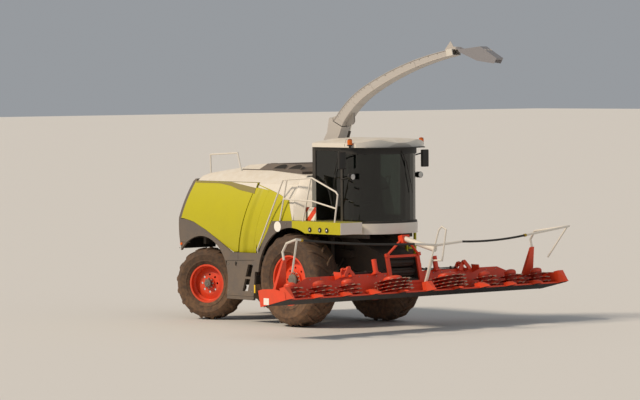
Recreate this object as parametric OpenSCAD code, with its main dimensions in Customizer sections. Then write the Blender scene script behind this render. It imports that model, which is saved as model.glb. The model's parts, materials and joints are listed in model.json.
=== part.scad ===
// Self-propelled forage harvester with a wide row-independent maize header, header raised.
// +X forward, +Y left, +Z up. Ground at z = 0. Lengths in millimetres.
// Inside the modules x = 0 is the front axle; machine() moves it so that x = 0 is mid-length.

/* [Front wheels] */
// Tyre diameter over the lugs
front_tyre_d = 1930; // [1850:10:1950]
// Tyre width
front_tyre_w = 680; // [640:10:700]
// Rim diameter over the flange
front_rim_d = 1040; // [980:10:1080]
// Distance between the middles of the front tyres
front_track = 2320; // [2300:10:2340]
// Lugs in one row round a front tyre
front_lug_n = 19; // [16:1:22]

/* [Rear wheels] */
// Distance from the front axle to the kingpins
wheelbase = 3080; // [3060:5:3120]
// Tyre diameter over the lugs
rear_tyre_d = 1540; // [1500:10:1560]
// Tyre width
rear_tyre_w = 540; // [500:10:550]
// Rim diameter over the flange
rear_rim_d = 820; // [780:10:840]
// Distance between the kingpins
kingpin_track = 1660; // [1650:10:1680]
// Distance from a kingpin out to the middle of its tyre
kingpin_offset = 280; // [275:1:300]
// Steering angle at rest, to the left
steer_rest = 22; // [0:1:30]
// Lugs in one row round a rear tyre
rear_lug_n = 17; // [14:1:20]

/* [Tyres and rims] */
// Height of a tread lug
lug_h = 42; // [30:1:50]
// Thickness of a rim's sheet
rim_sheet = 14; // [10:1:18]
// Radial clearance of a shaft in its bore
fit_gap = 0.05; // [0.02:0.01:0.1]
// Gap between curved faces that rest on each other
seat_gap = 0.3; // [0.2:0.05:0.5]

/* [Frame] */
// Height of the frame rails' underside
rail_z = 1080; // [1075:1:1090]
// Height of a frame rail
rail_h = 200; // [180:5:210]
// Width of a frame rail
rail_w = 90; // [80:5:95]
// Height of the underside of the cab
cab_base_z = 1930; // [1925:1:1935]

/* [Body] */
// Half width of the body at its widest
body_half_w = 1450; // [1440:5:1460]
// Radius of the bulged sides
side_r = 2300; // [2200:10:2400]
// Height of the widest line of the sides
bulge_z = 2000; // [1980:5:2020]
// Thickness of the side covers
cover_t = 40; // [30:1:45]
// Depth that the fixed front side panel is set in behind the rear cover
panel_step = 46; // [44:1:60]
// Depth that the hood is set in behind the rear cover
hood_step = 40; // [38:1:44]
// Height of the rear covers' top edge
cover_top_z = 2950; // [2930:5:2960]
// Gap between a cover and its frame
cover_gap = 6; // [5.5:0.5:8]
// Thickness of the hood
hood_t = 30; // [25:1:35]

/* [Cab] */
// Half width of the cab
cab_half_w = 870; // [860:1:872]
// Height of the cab floor's top
cab_floor_z = 2195; // [2190:5:2200]
// Height of the roof's underside
cab_roof_z = 3700; // [3650:10:3750]
// Thickness of the roof at its middle
roof_t = 190; // [170:5:210]
// Thickness of the cab's frame members
cab_frame_t = 50; // [40:1:55]
// Thickness of the glass
glass_t = 8; // [6:1:10]

/* [Intake] */
// Height of the axis that the intake and header swing about
lift_axis_z = 1500; // [1495:1:1510]
// Distance of that axis ahead of the front axle
lift_axis_x = 200; // [195:1:210]
// Radius of the drum housing about the same axis
drum_r = 350; // [340:1:352]
// Half width of the drum housing
drum_half_w = 460; // [450:1:462]
// Wall of the intake housing
intake_wall = 25; // [20:1:30]
// Radius of a feed roller
roller_r = 88; // [80:1:90]

/* [Header] */
// Rows that the header takes
row_pitch = 750; // [740:5:760]
// Half width of the middle section, to the fold
fold_y = 1585; // [1580:1:1600]
// How far the divider tips stand ahead of the rear wall
tip_reach = 875; // [850:5:900]
// Tilt of the raised header, front up
header_tilt = 12.9; // [10:0.1:15]
// Height of the header's rear wall
wall_h = 520; // [500:5:530]
// Height of the rear wall beside the outer rotors
low_wall_h = 330; // [320:5:350]
// Radius of a large rotor, to its teeth
big_rotor_r = 400; // [360:5:410]
// Radius of a small rotor, to its teeth
small_rotor_r = 280; // [260:5:285]
// Height of the fold's hinge above the header's floor
fold_z = 640; // [630:1:660]

/* [Spout] */
// Direction of the spout at rest, to the left of straight ahead
spout_turn = 25; // [0:1:30]
// Distance of the turning axis behind the front axle
turret_x = 350; // [340:1:360]
// Width of the spout
spout_w = 420; // [400:5:440]
// Height of the spout's section at its root
spout_h0 = 215; // [200:5:230]
// Height of the spout's section at its end
spout_h1 = 125; // [115:5:140]
// Radius of the spout's lower curve
spout_r1 = 2050; // [2000:10:2100]
// Radius of the spout's upper curve
spout_r2 = 5600; // [5500:10:5700]
// Wall of the spout
spout_wall = 10; // [8:1:12]

/* [Cylinders and tubes] */
// Outer radius of a lift cylinder's barrel
barrel_r = 45; // [42:1:50]
// Radius of a lift cylinder's rod
rod_r = 25; // [22:1:28]
// Radius of a handrail tube
rail_tube_r = 17; // [15:1:20]
// Radius of a guide bar tube
bar_r = 24; // [20:1:28]

/* [Hidden] */

$fn = 48;
// Steps round the body's large curves
big_fn = 360;
// Flat sides of a bent tube
tube_sides = 12;

// Half width to the outer divider tips
tip_half_w = 5 * row_pitch;
// Overall length
spout_tip_r = 3810;
spout_tip_x = spout_tip_r * cos(spout_turn) - turret_x;
tail_x = -4080;
mid_x = (spout_tip_x + tail_x) / 2;

// Colours
lime = "#b4bd00";
warm_white = "#e6e1d6";
panel_grey = "#6b6664";
signal_red = "#e2401f";
rubber = "#57483d";
frame_dark = "#3a3836";
steel_grey = "#9a9792";
glass_tint = [0.35, 0.42, 0.42, 0.5];

module machine() translate([-mid_x, 0, 0]) children();

// side is -1 for the right and 1 for the left; shapes are drawn on the right
module on_side(side) {
    if (side < 0) children();
    else mirror([0, 1, 0]) children();
}

module box(x, y, z) translate([x[0], y[0], z[0]]) cube([x[1] - x[0], y[1] - y[0], z[1] - z[0]]);

// Outline in x and z, pulled across from y0 to y1
module across(y0, y1) translate([0, y1, 0]) rotate([90, 0, 0]) linear_extrude(y1 - y0) children();

// Outline in y and z, pulled along x
module along(x0, x1) translate([x0, 0, 0]) rotate([90, 0, 90]) linear_extrude(x1 - x0) children();

// Round bar between two points
module bar(a, b, r) {
    d = b - a;
    flat = norm([d[0], d[1]]);
    translate(a) rotate([0, atan2(flat, d[2]), atan2(d[1], d[0])]) cylinder(h = norm(d), r = r);
}

function unit(v) = v / norm(v);

// Rings of a tube from point i on, each carried along its stretch to the plane that halves the bend
function sweep_rings(route, ring, i) = i == len(route) ? [] :
    let (d = unit(route[i] - route[i - 1]),
        n = i == len(route) - 1 ? d : d + unit(route[i + 1] - route[i]),
        next = [for (p = ring) p + d * ((route[i] - p) * n) / (d * n)])
    concat(next, sweep_rings(route, next, i + 1));

// Tube with mitred bends through a list of points
module tube_run(route, r) {
    d = unit(route[1] - route[0]);
    u = unit(cross(d, abs(d[2]) > 0.9 ? [1, 0, 0] : [0, 0, 1]));
    v = cross(d, u);
    first = [for (k = [0:tube_sides - 1])
        route[0] + r * (cos(k * 360 / tube_sides) * u + sin(k * 360 / tube_sides) * v)];
    n = len(route);
    polyhedron(concat(first, sweep_rings(route, first, 1)), concat(
        [[for (k = [0:tube_sides - 1]) k]],
        [for (i = [0:n - 2], k = [0:tube_sides - 1]) let (next = (k + 1) % tube_sides)
            [i * tube_sides + k, (i + 1) * tube_sides + k, (i + 1) * tube_sides + next,
                i * tube_sides + next]],
        [[for (k = [tube_sides - 1:-1:0]) (n - 1) * tube_sides + k]]));
}

// Wheels
// Section of a tyre as [radius, distance from the middle]
function tyre_half(d, w, rim_d) = [
    [rim_d / 2 + seat_gap, 0.40 * w],
    [rim_d / 2 + 60, 0.47 * w],
    [(rim_d + d) / 4 + 20, 0.5 * w],
    [d / 2 - lug_h - 95, 0.475 * w],
    [d / 2 - lug_h - 25, 0.42 * w],
    [d / 2 - lug_h, 0.34 * w]
];

module tyre(d, w, rim_d, lug_n) {
    half = tyre_half(d, w, rim_d);
    other = [for (i = [len(half) - 1:-1:0]) [half[i][0], -half[i][1]]];
    lug_base = d / 2 - lug_h - 30;
    lug_sweep = 0.30 * w;
    lug_top = sqrt(d * d / 4 - pow(0.6 * lug_sweep, 2));
    rotate_extrude($fn = 96) polygon(concat(half, other));
    for (row = [-1, 1], i = [0:lug_n - 1])
        rotate([0, 0, (i + (row < 0 ? 0.5 : 0)) * 360 / lug_n])
            rotate([0, 90, 0]) translate([0, 0, lug_base]) linear_extrude(lug_top - lug_base)
                polygon([
                    [-row * 0.015 * w, -0.5 * lug_sweep - 22],
                    [-row * 0.015 * w, -0.5 * lug_sweep + 40],
                    [-row * 0.20 * w, 0.1 * lug_sweep + 28],
                    [-row * 0.38 * w, 0.5 * lug_sweep + 20],
                    [-row * 0.38 * w, 0.5 * lug_sweep - 42],
                    [-row * 0.20 * w, 0.1 * lug_sweep - 34]
                ]);
}

// Rim with a dished disc; +Z is the outer side
module rim(d, w, disc_z, hub_r, bore_r) {
    half_w = 0.40 * w;
    r = d / 2;
    well = r - 55;
    difference() {
        union() {
            rotate_extrude($fn = 96) polygon([
                [r, half_w], [r, half_w - 18], [r - 22, half_w - 30], [r - 22, half_w - 90],
                [well, half_w - 130], [well, 130 - half_w], [r - 22, 90 - half_w],
                [r - 22, 30 - half_w], [r, 18 - half_w], [r, -half_w],
                [r - 36, -half_w], [r - 36, 100 - half_w], [well - rim_sheet, 138 - half_w],
                [well - rim_sheet, half_w - 138], [r - 36, half_w - 100], [r - 36, half_w]
            ]);
            rotate_extrude($fn = 96) polygon([
                [well - rim_sheet / 2, disc_z - 60], [well - rim_sheet / 2, disc_z - 20],
                [hub_r + 110, disc_z + 22], [0, disc_z + 22], [0, disc_z], [hub_r + 105, disc_z]
            ]);
            translate([0, 0, disc_z + 1]) cylinder(h = 55, r = hub_r);
        }
        translate([0, 0, disc_z - 100]) cylinder(h = 300, r = bore_r + fit_gap);
        for (i = [0:7]) rotate([0, 0, 45 * i]) translate([hub_r + 62, 0, disc_z - 40])
            cylinder(h = 100, r = 24);
    }
}

front_wheel_y = front_track / 2;
front_disc_z = 80;
front_hub_r = 190;
front_stub_r = 95;
rear_disc_z = 60;
rear_hub_r = 120;
rear_stub_r = 60;
front_axle_z = front_tyre_d / 2;
rear_axle_z = rear_tyre_d / 2;
kingpin_y = kingpin_track / 2;

module front_wheel_place(side)
    machine() translate([0, side * front_wheel_y, front_axle_z]) rotate([-90 * side, 0, 0]) children();

module knuckle_place(side)
    machine() translate([-wheelbase, side * kingpin_y, rear_axle_z]) rotate([0, 0, steer_rest])
        children();

module rear_wheel_place(side)
    knuckle_place(side) translate([0, side * kingpin_offset, 0]) rotate([-90 * side, 0, 0]) children();

// The chevrons point forward at the top on both sides
module front_tyre(side) color(rubber)
    machine() translate([0, side * front_wheel_y, front_axle_z]) rotate([90, 0, 0])
        tyre(front_tyre_d, front_tyre_w, front_rim_d, front_lug_n);

module rear_tyre(side) color(rubber)
    knuckle_place(side) translate([0, side * kingpin_offset, 0]) rotate([90, 0, 0])
        tyre(rear_tyre_d, rear_tyre_w, rear_rim_d, rear_lug_n);

module front_rim(side) color(signal_red)
    front_wheel_place(side) rim(front_rim_d, front_tyre_w, front_disc_z, front_hub_r, front_stub_r);

module rear_rim(side) color(signal_red)
    rear_wheel_place(side) rim(rear_rim_d, rear_tyre_w, rear_disc_z, rear_hub_r, rear_stub_r);

// Axles
// Final drives: inner and outer face, and the end of the stub
drive_in_y = 640;
drive_y = front_wheel_y + front_disc_z - 60;
stub_end_y = front_wheel_y + front_disc_z + 70;

module front_axle() color(frame_dark) machine() {
    translate([0, 0, front_axle_z]) rotate([90, 0, 0]) {
        cylinder(h = 2 * drive_in_y + 10, r = 110, center = true);
        for (side = [-1, 1]) {
            translate([0, 0, side > 0 ? drive_in_y : -drive_y])
                cylinder(h = drive_y - drive_in_y, r = 215);
            translate([0, 0, side > 0 ? drive_y - 5 : -stub_end_y])
                cylinder(h = stub_end_y - drive_y + 5, r = front_stub_r);
            translate([0, 0, side > 0 ? stub_end_y : -stub_end_y - 25])
                cylinder(h = 25, r = front_stub_r + 30);
        }
    }
    for (side = [-1, 1]) {
        box([-100, 100], [side * 585 - rail_w / 2, side * 585 + rail_w / 2],
            [front_axle_z + 60, rail_z]);
        difference() {
            box([90, 270], [side * lift_y - 90, side * lift_y + 90],
                [front_axle_z - 55, front_axle_z + 95]);
            box([150, 280], [side * lift_y - 50, side * lift_y + 50],
                [front_axle_z - 60, front_axle_z + 100]);
        }
        translate([lift_base[0], side * lift_y, lift_base[2]]) rotate([90, 0, 0])
            cylinder(h = 160, r = lift_pin_r, center = true);
    }
}

yoke_h = 180;

module rear_axle() color(frame_dark) machine() translate([-wheelbase, 0, rear_axle_z]) {
    difference() {
        union() {
            box([-75, 75], [-kingpin_y + 60, kingpin_y - 60], [-yoke_h / 2, yoke_h / 2]);
            for (side = [-1, 1]) translate([0, side * kingpin_y, -yoke_h / 2])
                cylinder(h = yoke_h, r = 72);
            box([-150, 150], [-160, 160], [60, rail_z - rear_axle_z]);
            box([-110, 110], [-320, 320], [rail_z - rear_axle_z - 60, rail_z - rear_axle_z]);
        }
        for (side = [-1, 1]) translate([0, side * kingpin_y, -yoke_h])
            cylinder(h = 2 * yoke_h, r = kingpin_r + fit_gap);
    }
    // Steering cylinder behind the beam
    translate([-140, 0, 0]) rotate([90, 0, 0]) {
        cylinder(h = 520, r = 45, center = true);
        cylinder(h = 980, r = 22, center = true);
    }
    for (side = [-1, 1]) box([-150, -70], [side * 180 - 25, side * 180 + 25], [-60, 60]);
}

kingpin_r = 32;

module knuckle(side) color(frame_dark) knuckle_place(side) {
    ear_z = yoke_h / 2 + 6;
    cylinder(h = 2 * ear_z + 20, r = kingpin_r, center = true);
    for (z = [-ear_z - 35, ear_z]) hull() {
        translate([0, 0, z]) cylinder(h = 35, r = 62, $fn = 32);
        translate([-70, side > 0 ? 80 : -130, z]) cube([140, 50, 35]);
    }
    box([-80, 80], side > 0 ? [82, 130] : [-130, -82], [-ear_z - 35, ear_z + 35]);
    translate([0, side * 129, 0]) rotate([-90 * side, 0, 0]) {
        cylinder(h = kingpin_offset + rear_disc_z - 145, r = 85);
        cylinder(h = kingpin_offset + rear_disc_z - 129 + 70, r = rear_stub_r);
        translate([0, 0, kingpin_offset + rear_disc_z - 129 + 70]) cylinder(h = 25, r = 80);
    }
    // Steering arm
    box([-230, -60], side > 0 ? [-20, 40] : [-40, 20], [ear_z, ear_z + 35]);
}

// Frame
front_rail_y = 585;
rear_rail_y = 280;
// Rear faces of the frames that carry the body
rear_post_x = -3160;
mid_post_x = -1560;
front_post_x = -760;
post_w = 80;
post_y = body_half_w - 300;
top_bar_z = 2880;
top_bar_h = 60;
// Hinge line of the side covers, as [distance from the middle, height]
flap_hinge_yz = [body_half_w - 222, 2928];
flap_pin_r = 6;
// Where the covers' hinge lugs stand
flap_lug_xs = [rear_post_x + 28, mid_post_x + 28];
flap_lug_w = 24;

flap_hinge_yz_right = [-flap_hinge_yz[0], flap_hinge_yz[1]];

module flap_pin(x, length, r) translate([x, flap_hinge_yz_right[0], flap_hinge_yz_right[1]])
    rotate([0, 90, 0]) cylinder(h = length, r = r);

module chassis() color(frame_dark) machine() {
    for (side = [-1, 1]) {
        y0 = side * front_rail_y;
        y1 = side * rear_rail_y;
        box([-1950, 500], [y0 - rail_w / 2, y0 + rail_w / 2], [rail_z, rail_z + rail_h]);
        box([-3960, -1850], [y1 - rail_w / 2, y1 + rail_w / 2], [rail_z, rail_z + rail_h]);
        // Carriers of the lower panels
        box([-1900, -1800], side > 0 ? [600, panel_in_y] : [-panel_in_y, -600],
            [rail_z + 80, rail_z + rail_h]);
        // Cab carriers on two posts
        box([-300, 1500], [y0 - rail_w / 2, y0 + rail_w / 2], [cab_base_z - 90, cab_base_z]);
        for (x = [-300, 300]) box([x, x + 100], [y0 - rail_w / 2, y0 + rail_w / 2],
            [rail_z + rail_h - 1, cab_base_z - 89]);
        // Rear body frame, above the steered tyres
        box([rear_post_x, rear_post_x + post_w], [y1 - rail_w / 2, y1 + rail_w / 2],
            [rail_z + rail_h - 1, 1601]);
        box([rear_post_x, rear_post_x + post_w], side > 0 ? [post_y - 60, post_y]
            : [-post_y, 60 - post_y], [1600, top_bar_z + top_bar_h]);
        // Middle body frame
        box([mid_post_x, mid_post_x + post_w], side > 0 ? [600, post_y] : [-post_y, -600],
            [rail_z + 80, rail_z + rail_h]);
        box([mid_post_x, mid_post_x + post_w], side > 0 ? [post_y - 60, post_y]
            : [-post_y, 60 - post_y], [rail_z + rail_h - 1, top_bar_z + top_bar_h]);
        // Hinge lugs of the side covers
        for (x = flap_lug_xs) on_side(side) difference() {
            along(x, x + flap_lug_w) {
                polygon([[60 - post_y, top_bar_z + 10], [60 - post_y, top_bar_z + 50],
                    flap_hinge_yz_right + [0, 11], flap_hinge_yz_right - [0, 11]]);
                translate(flap_hinge_yz_right) circle(11);
            }
            flap_pin(x - 10, flap_lug_w + 20, flap_pin_r + fit_gap);
        }
        // Front body frame
        box([front_post_x, front_post_x + post_w], [y0 - 40, y0 + 40],
            [rail_z + rail_h - 1, top_bar_z + 1]);
    }
    box([-1950, -1850], [-front_rail_y, front_rail_y], [rail_z, rail_z + rail_h]);
    box([-3960, -3860], [-rear_rail_y, rear_rail_y], [rail_z, rail_z + rail_h]);
    box([rear_post_x, rear_post_x + post_w], [-post_y, post_y], [1600, 1700]);
    for (x = [rear_post_x, mid_post_x]) box([x, x + post_w], [-post_y, post_y],
        [top_bar_z, top_bar_z + top_bar_h]);
    box([front_post_x, front_post_x + post_w], [-1110, 1110], [top_bar_z, top_bar_z + top_bar_h]);
    // Rear counterweight with the towing clevis
    difference() {
        union() {
            box([tail_x + 110, -3900], [-480, 480], [860, 1260]);
            box([tail_x, tail_x + 120], [-90, 90], [980, 1040]);
            box([tail_x, tail_x + 120], [-90, 90], [1110, 1170]);
        }
        translate([tail_x + 50, 0, 900]) cylinder(h = 400, r = 16);
    }
}

module engine_block() color(steel_grey) machine() {
    box([-3000, -2080], [-330, 330], [rail_z + rail_h, 1700]);
    box([-3000, -2080], [-680, 680], [1699, 2420]);
}

module chopper_housing() color(panel_grey) machine() {
    difference() {
        union() {
            translate([lift_axis_x, 0, lift_axis_z]) rotate([90, 0, 0])
                cylinder(h = 2 * drum_half_w, r = drum_r, center = true, $fn = 96);
            box([-620, lift_axis_x], [-drum_half_w, drum_half_w],
                [lift_axis_z - drum_r, lift_axis_z + drum_r]);
            box([-turret_x - 210, 210 - turret_x], [-210, 210], [lift_axis_z, 3290]);
            translate([-turret_x, 0, 3270]) cylinder(h = 30, r = 300);
            translate([-turret_x, 0, 3290]) cylinder(h = 74, r = turret_neck_r);
        }
        // Crop duct
        box([-turret_x - 150, 150 - turret_x], [-150, 150], [lift_axis_z + 100, 3400]);
        // Mouth towards the intake
        box([lift_axis_x + 150, lift_axis_x + 400], [-300, 300],
            [lift_axis_z - 230, lift_axis_z + 60]);
    }
    for (side = [-1, 1]) {
        box([-560, -360], side > 0 ? [drum_half_w - 1, front_rail_y - rail_w / 2]
            : [rail_w / 2 - front_rail_y, 1 - drum_half_w], [1160, 1270]);
        translate([lift_axis_x, side * (drum_half_w - 1), lift_axis_z]) rotate([-90 * side, 0, 0])
            cylinder(h = 60, r = swing_pin_r);
    }
}

// Body panels
panel_in_y = body_half_w - 50;
arch_x = -2870;
arch_z = 900;
arch_r = 890;
fender_x = 70;
fender_z = 1000;
fender_r = 1050;
// The line between the green covers and the grey lower panels, as [x, z] from the rear
skirt_line = [
    [-3465, 2138], [-3133, 2080], [-2711, 1918], [-2276, 1704], [-1860, 1478],
    [-1022, 1486], [-521, 2172], [113, 2190]
];
// Rear edge of the body: [x, z] at the bottom and at the top
rear_edge = [[-3560, 2150], [-3285, cover_top_z]];
// Front edge of the rear covers: [x, z] at the bottom and at the top
crease = [[-1691, 1462], [-1204, cover_top_z]];

// Section of the body across the machine; inset moves its skin inwards
module body_section(inset) intersection() {
    translate([side_r - body_half_w, bulge_z]) circle(side_r - inset, $fn = big_fn);
    translate([body_half_w - side_r, bulge_z]) circle(side_r - inset, $fn = big_fn);
    translate([0, 1681]) circle(1777 - inset, $fn = big_fn);
    translate([-2000, 1000]) square([4000, 2400]);
}

module body_shell(inset, t, x0, x1) difference() {
    along(x0, x1) body_section(inset);
    along(x0 - 10, x1 + 10) body_section(inset + t);
}

module side_half(side) translate([-5000, side > 0 ? 600 : -2600, 0]) cube([7000, 2000, 4000]);

module lower_panel(side) color(panel_grey) machine() on_side(side) {
    difference() {
        union() {
            across(-body_half_w, -panel_in_y) polygon([
                skirt_line[0], skirt_line[1], skirt_line[2], skirt_line[3], skirt_line[4],
                skirt_line[5], skirt_line[6], skirt_line[7], [113, 1900], [-700, 1100],
                [-1090, 1100], [-1140, 500], [-2010, 500], [-2010, 1290], [-2600, 1450],
                [-3566, 1464], [-3566, 2130]
            ]);
            // Lip round the arch
            translate([arch_x, -body_half_w, arch_z]) rotate([-90, 0, 0])
                rotate_extrude(angle = -100, $fn = 96) translate([arch_r - 20, 0]) square([32, 170]);
        }
        translate([arch_x, -1000, arch_z]) rotate([90, 0, 0]) cylinder(h = 900, r = arch_r, $fn = 96);
        translate([fender_x, -1000, fender_z]) rotate([90, 0, 0])
            cylinder(h = 900, r = fender_r, $fn = 96);
        // Toe holes
        for (z = [680, 985]) across(-body_half_w - 10, -panel_in_y + 10)
            polygon([[-1500 + z * 0.33 - 224, z], [-1330 + z * 0.33 - 224, z],
                [-1245 + z * 0.33 - 224, z + 260], [-1410 + z * 0.33 - 224, z + 260]]);
    }
}

module side_front(side) color(lime) machine() {
    intersection() {
        body_shell(panel_step, cover_t, -1750, 70);
        side_half(side);
        across(-2000, 2000) polygon([
            [crease[1][0] + 6, 2900], [-817, 2813], [-482, 2727], [-108, 2598], [-72, 2505],
            [57, 2200], [113, 2190], skirt_line[6], skirt_line[5], [-1680, 1479]
        ]);
    }
    on_side(side) {
        box([mid_post_x, mid_post_x + 60], [-post_y - 200, -post_y], [1900, 2100]);
        box([-700, -620], [-post_y - 190, -625], [2300, 2380]);
    }
}

module side_flap(side) color(lime) machine() {
    difference() {
        intersection() {
            body_shell(0, cover_t, -3600, -1150);
            side_half(side);
            across(-2000, 2000) polygon([
                rear_edge[0] + [cover_gap + 2, 0], rear_edge[1] + [cover_gap + 2, -cover_gap],
                crease[1] + [-cover_gap, -cover_gap], crease[0] + [-2 * cover_gap, 36],
                skirt_line[4] + [0, 8], skirt_line[3] + [0, 8], skirt_line[2] + [0, 8],
                skirt_line[1] + [0, 8], skirt_line[0] + [0, 10]
            ]);
        }
        for (x = flap_lug_xs) on_side(side)
            box([x - cover_gap, x + flap_lug_w + cover_gap],
                [-flap_hinge_yz[0] - 15, 48 - flap_hinge_yz[0]], [2908, 3000]);
    }
    for (x = flap_lug_xs) on_side(side) flap_pin(x - 30, flap_lug_w + 60, flap_pin_r);
}

// Top line of the hood from the rear, as [x, z]
hood_line = [[-3262, 3050], [-3080, 3112], [-2270, 3240], [-1376, 3200], [88, 3110]];

module hood() color(warm_white) machine() {
    difference() {
        union() {
            intersection() {
                difference() {
                    along(-3300, 88) body_section(hood_step);
                    along(-3310, 98) body_section(hood_step + hood_t);
                }
                across(-2000, 2000) polygon(concat(
                    [[-3285, cover_top_z]], hood_line,
                    [[88, 2205], [70, 2205], [-65, 2510], [-102, 2603], [-482, 2733],
                     [-817, 2819], [-1204, 2906], [-1204, cover_top_z]]));
            }
            // Front wall behind the cab
            intersection() {
                along(58, 88) body_section(hood_step);
                across(-2000, 2000) polygon([[50, 2205], [50, 3100], [100, 3100], [100, 2205]]);
            }
            // Top skin, and the closed rear end
            intersection() {
                along(-3300, 88) body_section(hood_step);
                across(-1600, 1600) polygon(concat(hood_line,
                    [[88, 3080], [-1376, 3170], [-2270, 3210], [-3080, 3082], [-3230, 3030],
                     [-3250, cover_top_z], [-3285, cover_top_z]]));
            }
            for (x = [rear_post_x, mid_post_x, front_post_x], side = [-1, 1]) on_side(side)
                box([x, x + 60], [-1080, -1000], [top_bar_z + top_bar_h, 3030]);
        }
        box([grille_x0, grille_x1], [-grille_half_w, grille_half_w], [3020, 3300]);
        turret_hole();
    }
}

grille_x0 = -2180;
grille_x1 = -240;
grille_half_w = 860;
turret_hole_r = 330;
slat_n = 11;

module turret_hole() translate([-turret_x, 0, 2900]) cylinder(h = 600, r = turret_hole_r);

module hood_grille() color(panel_grey) machine() difference() {
    intersection() {
        box([grille_x0 + seat_gap, grille_x1 - seat_gap],
            [seat_gap - grille_half_w, grille_half_w - seat_gap], [3060, 3400]);
        across(-1000, 1000) polygon([
            [grille_x0, 3060], [grille_x0, 3255], [grille_x0 + 60, 3290], [-1527, 3330],
            [-700, 3322], [-420, 3270], [grille_x1, 3180], [grille_x1, 3060]
        ]);
        along(grille_x0, grille_x1) polygon([
            [-860, 3060], [-860, 3210], [-640, 3330], [640, 3330], [860, 3210], [860, 3060]
        ]);
    }
    box([grille_x0 + 30, grille_x1 - 30], [-grille_half_w + 30, grille_half_w - 30], [3050, 3190]);
    turret_hole();
    // Louvres
    for (i = [0:slat_n - 1]) box([grille_x0 + 90 + i * 120, grille_x0 + 150 + i * 120],
        [-560, 560], [3180, 3400]);
}

module rear_panel() color(panel_grey) machine() {
    difference() {
        intersection() {
            along(-3760, -3200) body_section(8);
            across(-2000, 2000) polygon([
                [-3566, rear_tyre_d + cover_gap], [-3566, 2150], rear_edge[0], rear_edge[1], [-3300, cover_top_z + 40],
                [-3360, cover_top_z + 40], [-3640, 2150], [-3640, rear_tyre_d + cover_gap]
            ]);
        }
        // Outlet grille
        for (i = [0:9]) box([-3800, -3200], [-700, 700], [2260 + 60 * i, 2290 + 60 * i]);
    }
    // Tail lamps
    for (side = [-1, 1]) box([-3660, -3639], [side * 1180 - 90, side * 1180 + 90], [1900, 2020]);
    // Ties to the frame rails
    for (side = [-1, 1]) box([-3640, -3580], [side * rear_rail_y - 40, side * rear_rail_y + 40],
        [rail_z + rail_h, 1720]);
}

// Platforms and rails
deck_z = 2195;
deck_x0 = 113;
deck_x1 = 1629;

// The left platform is cut back at its front corner, where the ladder stands
step_x = 1050;

module platform(side) color(lime) machine() on_side(side) {
    difference() {
        translate([0, 0, 1950]) linear_extrude(deck_z - 1950) polygon(side < 0
            ? [[deck_x0, -body_half_w], [deck_x1, -body_half_w], [deck_x1, -cab_half_w],
                [deck_x0, -cab_half_w]]
            : [[deck_x0, -body_half_w], [640, -body_half_w], [step_x, 350 - body_half_w],
                [step_x, -cab_half_w], [deck_x0, -cab_half_w]]);
        translate([0, 0, 1900]) linear_extrude(deck_z - 1930) polygon(side < 0
            ? [[deck_x0 - 10, 30 - body_half_w], [deck_x1 - 30, 30 - body_half_w],
                [deck_x1 - 30, -cab_half_w - 30], [960, -cab_half_w - 30], [960, 0], [deck_x0 - 10, 0]]
            : [[deck_x0 - 10, 30 - body_half_w], [628, 30 - body_half_w],
                [step_x - 30, 364 - body_half_w], [step_x - 30, -cab_half_w - 30],
                [960, -cab_half_w - 30], [960, 0], [deck_x0 - 10, 0]]);
        // The skirt is cut over the tyre
        translate([fender_x, -1000, fender_z]) rotate([90, 0, 0])
            cylinder(h = 900, r = fender_r, $fn = 96);
    }
    if (side < 0) {
        // Lamps in the skirt
        for (x = [687, 1000, 1217]) translate([x, 12 - body_half_w, 2030]) rotate([90, 0, 0])
            cylinder(h = 20, r = 50);
    } else {
        // Ladder ahead of the front wheel
        for (y = [ladder_y, ladder_y + 230]) box([1000, step_x], [y, y + 40], [560, 1955]);
        for (z = [600, 920, 1240, 1560]) box([1000, step_x + 30], [ladder_y + 39, ladder_y + 231],
            [z, z + 40]);
    }
}

ladder_y = -cab_half_w - 280;
rail_y = -1425;
hoop_y = -900;
// Height of the hood's rounded top at y, and just clear of it
function hood_top(y) = 1681 + sqrt(pow(1777 - hood_step, 2) - y * y) + 1.3;

module handrail(side) color(warm_white) machine() on_side(side) difference() {
    union() {
        // Grab rail beside the steps behind the wheel
        tube_run([[-990, -1440, 1500], [-965, -1480, 1560], [-190, rail_y, 3026],
            [-63, rail_y, 3036], [-302, rail_y, 2160]], rail_tube_r);
        if (side < 0) {
            tube_run([[-63, rail_y, 3036], [729, rail_y, 3085], [1472, rail_y, 2816],
                [1527, rail_y, 2757], [1423, rail_y, deck_z - 20]], rail_tube_r);
            tube_run([[-172, rail_y, 2636], [755, rail_y, 2610], [1470, rail_y, 2480]],
                rail_tube_r);
            bar([697, rail_y, 3080], [430, rail_y, deck_z - 20], rail_tube_r);
            // Hoop on the hood
            tube_run([[-3200, hoop_y, 3060], [-3215, hoop_y, 3500], [-2300, hoop_y, 3545],
                [-2165, hoop_y, 3130]], rail_tube_r);
        } else {
            // Grab rail above the ladder, clear of the door
            tube_run([[1018, -cab_half_w - 200, deck_z - 20], [1018, -cab_half_w - 200, 2980],
                [1018, -cab_half_w - 60, 2980], [1018, -cab_half_w - 60, deck_z - 20]],
                rail_tube_r);
        }
    }
    // Feet cut level with the platform, the grey panel and the hood
    box([deck_x0, 2000], [-2000, 0], [2000, deck_z]);
    across(-body_half_w, -panel_in_y) polygon([
        [-1100, 1400], skirt_line[5], skirt_line[6], skirt_line[7], [113, 1900], [-700, 1400]]);
    across(hoop_y - 50, hoop_y + 50) polygon([[-3300, 3000], hood_line[0], hood_line[1],
        hood_line[1] + [0, -112]]);
    along(-2400, -2000) polygon([[hoop_y - 50, 3000], [hoop_y - 50, hood_top(hoop_y - 50)],
        [hoop_y + 50, hood_top(hoop_y + 50)], [hoop_y + 50, 3000]]);
}

// Cab
cab_x0 = 100;
cab_x1 = 1000;
cab_nose = 780;
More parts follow.
